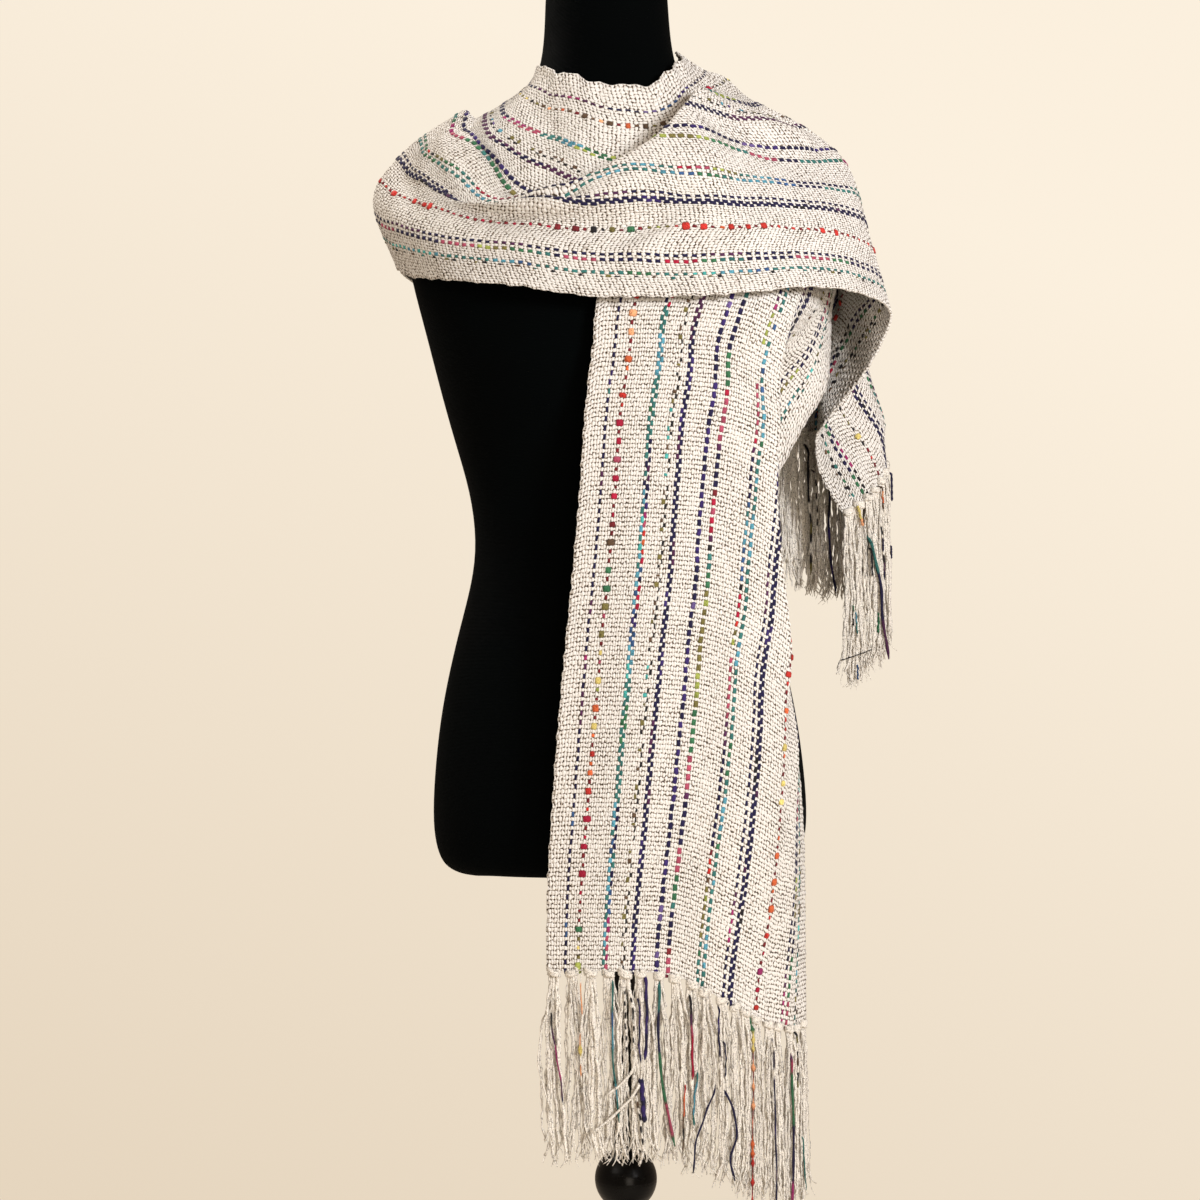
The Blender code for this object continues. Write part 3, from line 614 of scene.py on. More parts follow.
CREASES = (
    # Under the band's great fold, and where its lower part rolls over the chest
    Crease(2.28, 0.66, 2.56, 0.60, 1.5, 0.35),
    Crease(2.56, 0.60, 2.74, 0.46, 1.4, 0.30),
    Crease(2.22, 0.76, 2.60, 0.74, 1.5, -0.35),
    Crease(2.60, 0.74, 2.82, 0.66, 1.3, -0.22),
    Crease(2.64, 0.62, 2.50, 0.92, 1.2, 0.25),
    Crease(2.60, 0.58, 2.46, 0.90, 1.0, -0.25),
    Crease(2.70, 0.20, 2.90, 0.36, 1.3, 0.25),
    Crease(2.66, 0.30, 2.84, 0.50, 1.1, -0.20),
    Crease(2.80, 0.70, 2.72, 0.95, 1.3, -0.20),
    Crease(2.22, 0.64, 2.46, 0.58, 1.05, -0.85, -1.35),
    Crease(2.22, 0.70, 2.46, 0.67, 0.8, 0.65, 0.6),
    # Across the shoulder that the band leaves first
    Crease(2.02, 0.42, 2.24, 0.62, 0.9, 0.22),
    Crease(2.04, 0.34, 2.26, 0.50, 0.8, -0.22),
    Crease(2.02, 0.62, 2.20, 0.84, 1.2, -0.20),
    Crease(2.12, 0.10, 2.34, 0.22, 0.9, -0.16),
    Crease(2.30, 0.16, 2.50, 0.30, 1.0, 0.16),
    # Down the panel, from the shoulder and beside its turned edge
    Crease(0.05, 0.30, 0.46, 0.24, 2.2, 0.22),
    Crease(0.12, 0.52, 0.62, 0.44, 2.0, -0.20),
    Crease(0.10, 0.76, 0.58, 0.72, 1.8, 0.28),
    Crease(0.36, 0.60, 0.76, 0.62, 1.6, 0.22),
    # Round the back
    Crease(1.20, 0.70, 1.55, 0.62, 1.8, 0.30),
    Crease(1.25, 0.86, 1.60, 0.76, 1.6, -0.25),
    Crease(1.52, 0.40, 1.85, 0.52, 1.6, 0.28),
    Crease(1.60, 0.28, 1.92, 0.36, 1.4, -0.22),
    # Down the tail
    Crease(3.10, 0.30, 3.70, 0.36, 1.3, 0.18),
    Crease(3.20, 0.62, 3.85, 0.66, 1.4, -0.18),
)


class Ripple(NamedTuple):
    """Small waves of a selvedge between two places along the cloth."""

    share: float  # 0 at the neck selvedge and 1 at the outer one
    start_at: float
    end_at: float
    wave: float
    height: float
    reach: float = 1.1  # how far into the cloth it fades


RIPPLES = (
    Ripple(0.0, 2.10, 2.86, 6.5, 0.24),
    Ripple(0.0, 1.00, 2.06, 6.0, 0.16),
    Ripple(0.0, 0.02, 0.97, 2.2, 0.07, 0.6),
    Ripple(1.0, 0.02, 0.97, 2.0, 0.06, 0.6),
    Ripple(1.0, 1.03, 2.97, 2.9, 0.10, 0.8),
    Ripple(0.0, 3.03, 3.97, 2.1, 0.08, 0.6),
    Ripple(1.0, 3.03, 3.97, 2.3, 0.08, 0.6),
)


CREASE_TAPER = 0.3  # share of a crease's length over which each of its ends fades
CREASE_END = 0.15  # share of its height that is left there
RIPPLE_TAPER = 2.0  # cm over which a ripple starts and ends
RIPPLE_LIFT = 0.4  # how far a ripple also lifts the selvedge, as a share of its sideways move


def crease_moves(places: np.ndarray, starts: np.ndarray, crease: Crease) -> np.ndarray:
    """Measure how far one crease lifts each point, and moves it towards the outer selvedge.

    Args:
        places: each point's own place on the flat cloth, across and along.
        starts: the place along the cloth of each stretch's start, and of the cloth's end.
        crease: the crease.

    Returns:
        The two distances at each point.
    """
    along = np.interp((crease.start_at, crease.end_at), np.arange(len(starts)), starts)
    start = np.array([crease.start_share * WEAVE.width, along[0]])
    course = np.array([crease.end_share * WEAVE.width, along[1]]) - start
    share = (places - start) @ course / (course @ course)
    near = np.clip(share, 0.0, 1.0)
    aside = np.linalg.norm(places - start - near[..., None] * course, axis=-1)
    ends = smooth_step(near / CREASE_TAPER) * smooth_step((1 - near) / CREASE_TAPER)
    share = (CREASE_END + (1 - CREASE_END) * ends) * np.exp(-(aside / crease.half_width) ** 2)
    return np.stack([crease.height * share, -crease.lean * share], axis=-1)


def ripple_heights(places: np.ndarray, starts: np.ndarray, ripple: Ripple) -> np.ndarray:
    """Measure how far one ripple moves each point of the cloth sideways.

    Args:
        places: each point's own place on the flat cloth, across and along.
        starts: the place along the cloth of each stretch's start, and of the cloth's end.
        ripple: the ripple.

    Returns:
        The distance at each point.
    """
    start, end = np.interp((ripple.start_at, ripple.end_at), np.arange(len(starts)), starts)
    travel = places[..., 1] - start
    turns = 2 * math.pi * travel / ripple.wave
    waves = 0.6 * np.sin(turns + 0.9 * np.sin(0.37 * turns)) + 0.4 * np.sin(1.73 * turns + 1.0)
    inside = (smooth_step(travel / RIPPLE_TAPER)
              * smooth_step((end - places[..., 1]) / RIPPLE_TAPER))
    aside = np.abs(places[..., 0] - ripple.share * WEAVE.width)
    return ripple.height * waves * inside * np.exp(-(aside / ripple.reach) ** 2)


class Course(NamedTuple):
    """One stretch of the cloth's way round the form, in centimetres."""

    name: str
    rows: int
    settle: Callable
    length: float  # that it was cut to, seam to seam
    held: str
    centred: bool = False  # whether its picks are counted from its middle row
    reverse_reach: float = 0.0  # how far along, from its start, its reverse shows


COURSES = (
    Course("scarf_front_panel", 420, settle_panel, 83.0, "hung", reverse_reach=62.0),
    Course("scarf_back_wrap", 250, settle_back, 50.0, "draped", centred=True),
    Course("scarf_chest_band", 260, settle_band, 52.0, "draped", centred=True),
    Course("scarf_tail", 180, settle_tail, 32.0, "draped", reverse_reach=99.0),
)


@dataclass
class Track:
    """The line of one warp end along a stretch, on one face of the cloth."""

    points: np.ndarray
    normals: np.ndarray
    along: np.ndarray  # distance along the cloth, which always grows
    reach: float = 0.15  # how far to each side the line's direction is taken from

    def at(self, distances: np.ndarray) -> tuple:
        """Find places on the line.

        Args:
            distances: how far along the cloth the places are, in centimetres.

        Returns:
            The places, and the directions along the line, across it and out of the cloth.
        """
        behind, place, ahead = (read_columns(distances + shift, self.along, self.points)
                                for shift in (-self.reach, 0.0, self.reach))
        tangents = unit(ahead - behind)
        normals = unit(read_columns(distances, self.along, self.normals))
        normals = unit(normals - tangents * np.sum(normals * tangents, axis=1, keepdims=True))
        return place, tangents, np.cross(tangents, normals), normals


@dataclass
class Stretch:
    """One stretch of the cloth, as a fine grid with a column for each warp end."""

    course: Course
    points: np.ndarray  # rows along the cloth by columns across it, in centimetres
    normals: np.ndarray
    along: np.ndarray  # distance along the cloth at each point

    @property
    def name(self) -> str:
        """Return the name of the model's node."""
        return self.course.name

    @property
    def shows_reverse(self) -> bool:
        """Return whether the reverse shows all along."""
        return self.course.reverse_reach > np.ptp(self.along)

    def relief(self) -> np.ndarray:
        """Return how far the weft stands out of the face at each point."""
        sign = np.where(np.arange(self.points.shape[1]) % 2, -1.0, 1.0)
        return WEAVE.relief * sign * np.cos(math.pi * self.along / WEAVE.pick)

    def sides(self) -> tuple:
        """Give the cloth its thickness, with the weave's relief and scalloped selvedges.

        Returns:
            The grids of the face and of the reverse.
        """
        relief = self.relief()[..., None]
        scallop = np.zeros(self.points.shape[:2])
        for edge, sign in ((0, -1.0), (-1, 1.0)):
            turn = 0.5 - 0.5 * np.cos(math.pi * self.along[:, edge] / WEAVE.pick)
            scallop[:, edge] = sign * WEAVE.scallop * turn
        across = unit(np.gradient(self.points, axis=1))
        middle = self.points + across * scallop[..., None]
        half = 0.5 * WEAVE.thickness
        return middle + self.normals * (half + relief), middle - self.normals * (half - relief)

    def track(self, offset: float, reverse: bool) -> Track:
        """Find the line of a warp yarn.

        Args:
            offset: how far it lies from the neck selvedge, in centimetres.
            reverse: whether it lies on the reverse.

        Returns:
            The line.
        """
        column = offset / WEAVE.end
        low = min(int(column), self.points.shape[1] - 2)
        share = column - low
        points, normals, along = (grid[:, low] * (1 - share) + grid[:, low + 1] * share
                                  for grid in (self.points, self.normals, self.along))
        side = -1.0 if reverse else 1.0
        return Track(points + side * 0.5 * WEAVE.thickness * normals, side * normals, along)


class Drape:
    """The whole scarf's way, as the model lofts it, in four stretches."""

    def __init__(self) -> None:
        """Loft, settle and number the stretches."""
        parts = [[hanging_section(row) for row in HANGING_ROWS] + OVER_SHOULDER_ROWS,
                 BACK_ROWS + [chest_section(CHEST_ROWS[0])],
                 [chest_section(row) for row in CHEST_ROWS[1:]], TAIL_ROWS]
        lines = spline(np.array([cross_points(section) for section in sum(parts, [])]))
        grids = []
        first = 0
        for number, (part, course) in enumerate(zip(parts, COURSES)):
            last = first + (len(part) - (not grids)) * CURVE_STEPS
            shares = np.linspace(0, 1, course.rows + 1)
            grid = np.stack([at_distances(lines[first:last + 1, column], shares)
                             for column in range(lines.shape[1])], axis=1)
            grids.append(self.space_ends(course.settle(grid), number))
            first = last
        self.stretches = self.number(grids)

    @staticmethod
    def space_ends(grid: np.ndarray, number: int) -> np.ndarray:
        """Space the warp ends across each row, as far from even as the cloth's pull slides them.

        Args:
            grid: the settled points of a stretch.
            number: the stretches before it.

        Returns:
            The points with a column for each warp end.
        """
        even = np.linspace(0, 1, WEAVE.ends + 1)
        rows = np.array(SLIDES)
        across = spline(np.column_stack([SLIDE_ENDS, np.pad(rows[:, 1:] / 100, ((0, 0), (1, 1))).T]))
        slides = read_columns(even, across[:, 0], across[:, 1:]).T
        along = spline(np.column_stack([rows[:, 0], slides]))
        slides = read_columns(number + np.linspace(0, 1, len(grid)), along[:, 0], along[:, 1:])
        return np.stack([at_distances(row, even + slide) for row, slide in zip(grid, slides)])

    def number(self, grids: list) -> list:
        """Measure the distance along each warp end, and join the normals over the seams.

        Args:
            grids: the stretches' points, which share their end rows.

        Returns:
            The stretches.
        """
        whole = self.crumple(np.concatenate([grids[0]] + [grid[1:] for grid in grids[1:]]))
        normals = self.normals(whole)
        stretches = []
        first = 0
        for course in COURSES:
            rows = slice(first, first + course.rows + 1)
            steps = np.linalg.norm(np.diff(whole[rows], axis=0), axis=2)
            along = np.concatenate([np.zeros((1, steps.shape[1])), np.cumsum(steps, axis=0)])
            along -= along[course.rows // 2 if course.centred else 0]
            if course is COURSES[-1]:
                along += stretches[-1].along[-1]
            stretches.append(Stretch(course, whole[rows], normals[rows], along))
            first += course.rows
        return stretches

    @staticmethod
    def normals(grid: np.ndarray) -> np.ndarray:
        """Return the way out of the cloth's face at each point of a grid."""
        return unit(np.cross(np.gradient(grid, axis=1), np.gradient(grid, axis=0)))

    def crumple(self, whole: np.ndarray) -> np.ndarray:
        """Give the cloth its creases and rippled selvedges.

        Args:
            whole: the points of the whole cloth.

        Returns:
            The moved points.
        """
        seams = np.cumsum([0] + [course.rows for course in COURSES])
        middle = travelled(whole[:, whole.shape[1] // 2])
        starts = middle[seams]
        across = np.linspace(0, WEAVE.width, whole.shape[1])
        places = np.stack(np.meshgrid(across, middle), axis=-1)
        moves = sum(crease_moves(places, starts, crease) for crease in CREASES)
        shift = sum(ripple_heights(places, starts, ripple) for ripple in RIPPLES)
        sideways = unit(np.gradient(whole, axis=1))
        return (whole + self.normals(whole) * (moves[..., 0] + RIPPLE_LIFT * shift)[..., None]
                + sideways * (moves[..., 1] + shift)[..., None])

    def named(self, name: str) -> Stretch:
        """Return the stretch of a name."""
        return next(stretch for stretch in self.stretches if stretch.name == name)


def make_object(name: str, points: np.ndarray, faces: list,
                colours: np.ndarray | None = None) -> Object:
    """Make a smooth object from points in centimetres and faces.

    Args:
        name: the object's name.
        points: its points.
        faces: the points of each face, in the order that makes it point out.
        colours: a colour for each point of a yarn, for its Dye attribute, with the floats' painted light
            in it.

    Returns:
        The object, with its place in its mesh.
    """
    mesh = bpy.data.meshes.new(name)
    mesh.from_pydata((points * CM).tolist(), [], faces)
    mesh.shade_smooth()
    mesh.update()
    if colours is not None:
        # The Dye attribute holds the yarn's dye colour, with the floats' painted highlight and shade
        # multiplied in.
        dye = mesh.color_attributes.new("Dye", "FLOAT_COLOR", "POINT")
        dye.data.foreach_set("color", np.column_stack([colours, np.ones(len(colours))]).ravel())
    thing = bpy.data.objects.new(name, mesh)
    bpy.context.collection.objects.link(thing)
    return thing


def dress(thing: Object, material: Material) -> Object:
    """Give a piece its material and its slot, and let it ride on the form's body.

    Args:
        thing: the piece.
        material: the material.

    Returns:
        The piece.
    """
    thing.data.materials.clear()
    thing.data.materials.append(material)
    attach(thing, BODY)
    return thing


@dataclass
class Wall:
    """The closed woven wall of one stretch, whose reverse is coarser where nothing shows it."""

    stretch: Stretch

    def build(self) -> Object:
        """Build the wall with its weave map, whose units are metres across and along.

        Returns:
            The wall.
        """
        face, reverse = self.stretch.sides()
        step = 1 if self.stretch.shows_reverse else 2
        coarse = np.s_[::step, ::step]
        ids = np.arange(face[..., 0].size).reshape(face.shape[:2])
        back_ids = ids.size + np.arange(ids[coarse].size).reshape(ids[coarse].shape)
        faces = self.quads(ids) + self.quads(back_ids[:, ::-1]) + self.rim(ids, back_ids, step)
        points = np.concatenate([face.reshape(-1, 3), reverse[coarse].reshape(-1, 3)])
        thing = make_object(self.stretch.name + "_cloth", points, faces)
        across = np.broadcast_to(np.arange(ids.shape[1]) * WEAVE.end, ids.shape)
        weave = np.stack([across, self.stretch.along], axis=-1) * CM
        places = np.concatenate([weave.reshape(-1, 2), weave[coarse].reshape(-1, 2)])
        layer = thing.data.uv_layers.new(name="Weave")
        corners = np.zeros(len(thing.data.loops), np.int32)
        thing.data.loops.foreach_get("vertex_index", corners)
        layer.uv.foreach_set("vector", places[corners].ravel())
        return thing

    @staticmethod
    def quads(ids: np.ndarray) -> list:
        """Return the faces of a grid of points."""
        return np.stack([ids[:-1, :-1], ids[:-1, 1:], ids[1:, 1:], ids[1:, :-1]],
                        axis=-1).reshape(-1, 4).tolist()

    @staticmethod
    def loop(ids: np.ndarray) -> list:
        """Return a grid's edge points in order, with the first once more at the end."""
        edge = np.concatenate([ids[0, :-1], ids[:-1, -1], ids[-1, :0:-1], ids[::-1, 0]])
        return edge.tolist()

    def rim(self, ids: np.ndarray, back_ids: np.ndarray, step: int) -> list:
        """Close the wall's cut edges and selvedges.

        Args:
            ids: the face's grid of points.
            back_ids: the reverse's grid, with each step-th row and column of the face's.
            step: how many of the face's edges lie beside one edge of the reverse.

        Returns:
            The faces between the two grids' edges.
        """
        near, far = self.loop(ids), self.loop(back_ids)
        faces = []
        for i, (here, there) in enumerate(zip(far, far[1:])):
            beside = near[i * step:(i + 1) * step + 1]
            faces += [(after, before, here) for before, after in zip(beside, beside[1:])]
            faces.append((beside[-1], here, there))
        return faces


class Dye(Enum):
    """The colours of the yarns: a letter for each, and its linear red, green and blue."""

    NAVY = ("N", (0.010, 0.008, 0.044))
    VIOLET = ("V", (0.030, 0.016, 0.11))
    LILAC = ("L", (0.12, 0.08, 0.24))
    PLUM = ("U", (0.065, 0.016, 0.060))
    MAGENTA = ("M", (0.28, 0.022, 0.12))
    PINK = ("P", (0.32, 0.055, 0.10))
    CRIMSON = ("C", (0.32, 0.008, 0.035))
    RED = ("R", (0.44, 0.026, 0.020))
    ORANGE = ("O", (0.56, 0.11, 0.035))
    PEACH = ("H", (0.78, 0.36, 0.18))
    YELLOW = ("Y", (0.66, 0.54, 0.17))
    LIME = ("I", (0.28, 0.33, 0.07))
    OLIVE = ("E", (0.15, 0.13, 0.04))
    GREEN = ("G", (0.03, 0.13, 0.06))
    TEAL = ("T", (0.03, 0.14, 0.13))
    AQUA = ("A", (0.06, 0.38, 0.36))
    SKY = ("S", (0.07, 0.25, 0.34))
    BLUE = ("B", (0.03, 0.08, 0.20))
    BLACK = ("K", (0.012, 0.011, 0.014))
    BROWN = ("W", (0.10, 0.06, 0.035))
    MAROON = ("D", (0.15, 0.014, 0.02))
    CREAM = (".", (0.86, 0.82, 0.75))

    @property
    def colour(self) -> tuple:
        """Return its linear red, green and blue."""
        return self.value[1]


DYES = {dye.value[0]: dye for dye in Dye}


def read_run(run: str) -> list:
    """Read a run of dyes.

    Args:
        run: letters of dyes, each with how many floats it lasts where that is more than one, such
            as N4GB2. A dot is a float that stays hidden in the cream, or a strand's cream part,
            and a star after a letter and its number makes beads.

    Returns:
        A pair of a dye and whether it is a bead, for each float.
    """
    found = []
    for letter, count, star in re.findall(r"([A-Z.])(\d*)(\*?)", run):
        found += [(DYES[letter], bool(star))] * int(count or 1)
    return found


@dataclass(frozen=True)
class WarpEnd:
    """One coloured warp yarn: where it runs, its floats' size, and the runs of its dyes."""

    offset: float  # cm from the neck selvedge
    width: float
    length: float
    height: float
    run: str
    band_run: str = ""
    tail_run: str = ""
    slub: float = 0.1  # how much the floats' size varies

    def floats(self, count: int, name: str) -> list:
        """Read the run of one stretch, as often as it takes.

        Args:
            count: the number of floats.
            name: the stretch's name.

        Returns:
            Each float's dye and whether it is a bead.
        """
        own = {"scarf_chest_band": self.band_run, "scarf_tail": self.tail_run}.get(name)
        found = read_run(own or self.run)
        return [found[i % len(found)] for i in range(count)]


class Station(NamedTuple):
    """One ring of a float, from its first end to its last."""

    ahead: float  # of half its length
    wide: float  # of its full width there
    high: float  # of its full height, where less than nothing sinks it into the cloth
    # painted shade along the float: its sunken ends darker than its middle
    shade: float


class RimPoint(NamedTuple):
    """One point of a float's ring, from its first side over its top to its underside."""

    side: float
    up: float
    # painted light round the float: a painted highlight on its top, painted shade on its sides and
    # underside
    shade: float


# The last number of each station and ring point is painted light, multiplied into each float's colour.
STATIONS = (Station(-1.0, 0.45, -0.25, 0.7), Station(-0.62, 1.0, 1.0, 1.0),
            Station(0.62, 1.0, 1.0, 1.0), Station(1.0, 0.45, -0.25, 0.7))
RING = (RimPoint(1.0, 0.0, 0.8), RimPoint(0.62, 0.88, 1.3), RimPoint(-0.62, 0.88, 1.3),
        RimPoint(-1.0, 0.0, 0.8), RimPoint(0.0, -0.5, 0.6))


@dataclass
class Floats:
    """All the floats of the coloured yarns on one stretch, in one mesh with a colour and painted light
    each.
    """

    stretch: Stretch
    ends: tuple
    seed: int
    bead_growth: tuple = (0.65, 1.3, 0.8)  # how much longer, wider and higher a bead is
    wander: tuple = (0.03, 0.04, 0.16)  # along, across and in turn, at most
    tints: tuple = (0.8, 1.25)
    points: list = field(default_factory=list)
    colours: list = field(default_factory=list)

    def __post_init__(self) -> None:
        """Seed the small differences."""
        self.random = np.random.default_rng(self.seed)

    def build(self) -> Object:
        """Lay every yarn's floats on the face, and on the reverse where that shows.

        Returns:
            The floats.
        """
        for reverse in (False, True)[:1 + (self.stretch.course.reverse_reach > 0)]:
            for end in self.ends:
                self.lay(end, reverse)
        points = np.concatenate(self.points)
        pattern = self.pattern()
        faces = [tuple(points.shape[1] * number + i for i in face)
                 for number in range(len(points)) for face in pattern]
        # Painted light on every float: a highlight on its top, shade on its sides, underside and sunken
        # ends
        shade = np.outer([station.shade for station in STATIONS], [point.shade for point in RING])
        colours = np.concatenate(self.colours)[:, None] * shade.reshape(-1, 1)
        return make_object(self.stretch.name + "_yarns", points.reshape(-1, 3), faces,
                           colours.reshape(-1, 3))

    @staticmethod
    def pattern() -> list:
        """Make the faces of one float: a ring of them between each two stations, and two ends.

        Returns:
            The points of each face.
        """
        ring, size = len(RING), len(RING) * len(STATIONS)
        sides = [(low + i, low + ring + i, low + ring + (i + 1) % ring, low + (i + 1) % ring)
                 for low in range(0, size - ring, ring) for i in range(ring)]
        return sides + [tuple(range(ring)), tuple(range(size - 1, size - 1 - ring, -1))]

    def lay(self, end: WarpEnd, reverse: bool) -> None:
        """Lay one yarn's floats along the stretch.

        Args:
            end: the yarn.
            reverse: whether the floats lie on the cloth's reverse.
        """
        track = self.stretch.track(end.offset, reverse)
        parity = (round(end.offset / WEAVE.end) + 1 + reverse) % 2
        stop = track.along[-1]
        if reverse:
            stop = min(stop, track.along[0] + self.stretch.course.reverse_reach)
        first = math.ceil((track.along[0] / WEAVE.pick - parity) / 2)
        last = math.floor((stop / WEAVE.pick - parity) / 2)
        centres = (2 * np.arange(first, last + 1) + parity) * WEAVE.pick
        run = end.floats(len(centres), self.stretch.name)
        shown = [i for i, (dye, _) in enumerate(run) if dye is not Dye.CREAM]
        beads = np.array([run[i][1] for i in shown], float)
        size = 1 + end.slub * self.random.uniform(-1, 1, (len(shown), 3))
        length, width, height = (
            full * size[:, axis] * (1 + growth * beads) for axis, (full, growth)
            in enumerate(zip((0.5 * end.length, 0.5 * end.width, end.height), self.bead_growth)))
        centres = centres[shown] + self.wander[0] * self.random.uniform(-1, 1, len(shown))
        places, tangents, across, normals = track.at(centres)
        places = places + across * (self.wander[1] * self.random.uniform(-1, 1, (len(shown), 1)))
        turn = self.random.uniform(-self.wander[2], self.wander[2], (len(shown), 1))
        tangents, across = tangents + across * turn, across - tangents * turn
        local = np.array([(station.ahead, station.wide * point.side,
                           (station.high if point.up > 0 else 1.0) * point.up)
                          for station in STATIONS for point in RING])
        self.points.append(places[:, None] + tangents[:, None] * local[:, :1] * length[:, None, None]
                           + across[:, None] * local[:, 1:2] * width[:, None, None]
                           + normals[:, None] * local[:, 2:] * height[:, None, None])
        tint = np.array([run[i][0].colour for i in shown])
        self.colours.append(tint * self.random.uniform(*self.tints, (len(shown), 1)))


class Nodes:
    """The nodes of a material or a world, with short ways to add the ones that are needed."""

    def __init__(self, owner: Material | World) -> None:
        """Turn on the nodes of a material or a world."""
        owner.use_nodes = True
        self.tree = owner.node_tree

    def feed(self, socket: NodeSocket, value: object) -> None:
        """Link a socket to another, or set its own value.

        Args:
            socket: the input.
            value: another socket, a number, or the three numbers of a colour.
        """
        if isinstance(value, NodeSocket):
            self.tree.links.new(value, socket)
        elif isinstance(value, tuple):
            socket.default_value = (*value, 1.0)
        else:
            socket.default_value = value

    def add(self, kind: str, inputs: dict | None = None, **settings: object) -> Node:
        """Add a node.

        Args:
            kind: the node's type.
            inputs: what feeds each input, by the input's name or number.
            settings: the node's own settings.

        Returns:
            The node.
        """
        node = self.tree.nodes.new(kind)
        for name, value in settings.items():
            setattr(node, name, value)
        for key, value in (inputs or {}).items():
            self.feed(node.inputs[key], value)
        return node

    def calculate(self, operation: str, *values: object) -> NodeSocket:
        """Return the result of a sum on one, two or three values."""
        return self.add("ShaderNodeMath", dict(enumerate(values)), operation=operation).outputs[0]

    def ramp(self, value: object, low: float, high: float, start: float = 0.0,
             end: float = 1.0, way: str = "SMOOTHSTEP") -> NodeSocket:
        """Return a value that goes from start to end as another goes from low to high."""
        inputs = dict(enumerate((value, low, high, start, end)))
        return self.add("ShaderNodeMapRange", inputs, interpolation_type=way).outputs[0]

    def noise(self, place: NodeSocket, scale: float, detail: float = 2.0,
              roughness: float = 0.5) -> NodeSocket:
        """Return a noise from 0 to 1."""
        return self.add("ShaderNodeTexNoise", {"Vector": place, "Scale": scale, "Detail": detail,
                                               "Roughness": roughness}).outputs["Fac"]

    def blend(self, share: object, first: object, second: object) -> NodeSocket:
        """Return a blend of two colours."""
        return self.add("ShaderNodeMix", {"Factor": share, 6: first, 7: second},
                        data_type="RGBA").outputs[2]

    def brighten(self, colour: object, value: object) -> NodeSocket:
        """Return a colour made lighter or darker by a value about 1."""
        return self.add("ShaderNodeHueSaturation", {"Color": colour, "Value": value}).outputs[0]


class Finish(Nodes):
    """A new material, with its nodes and its one Principled shader."""

    def __init__(self, name: str) -> None:
        """Start the material."""
        self.material = bpy.data.materials.new(name)
        super().__init__(self.material)
        self.shader = self.tree.nodes["Principled BSDF"]

    def shade(self, **inputs: object) -> None:
        """Feed the shader's inputs, each named with a line for each space."""
        for name, value in inputs.items():
            self.feed(self.shader.inputs[name.replace("_", " ")], value)

    def bump(self, height: object, depth: float) -> None:
        """Raise the surface by a height from 0 to 1 times a depth in metres."""
        self.shade(Normal=self.add("ShaderNodeBump", {"Distance": depth, "Height": height}).outputs[0])

    def place(self) -> NodeSocket:
        """Return the piece's own coordinates."""
        return self.add("ShaderNodeTexCoord").outputs["Object"]


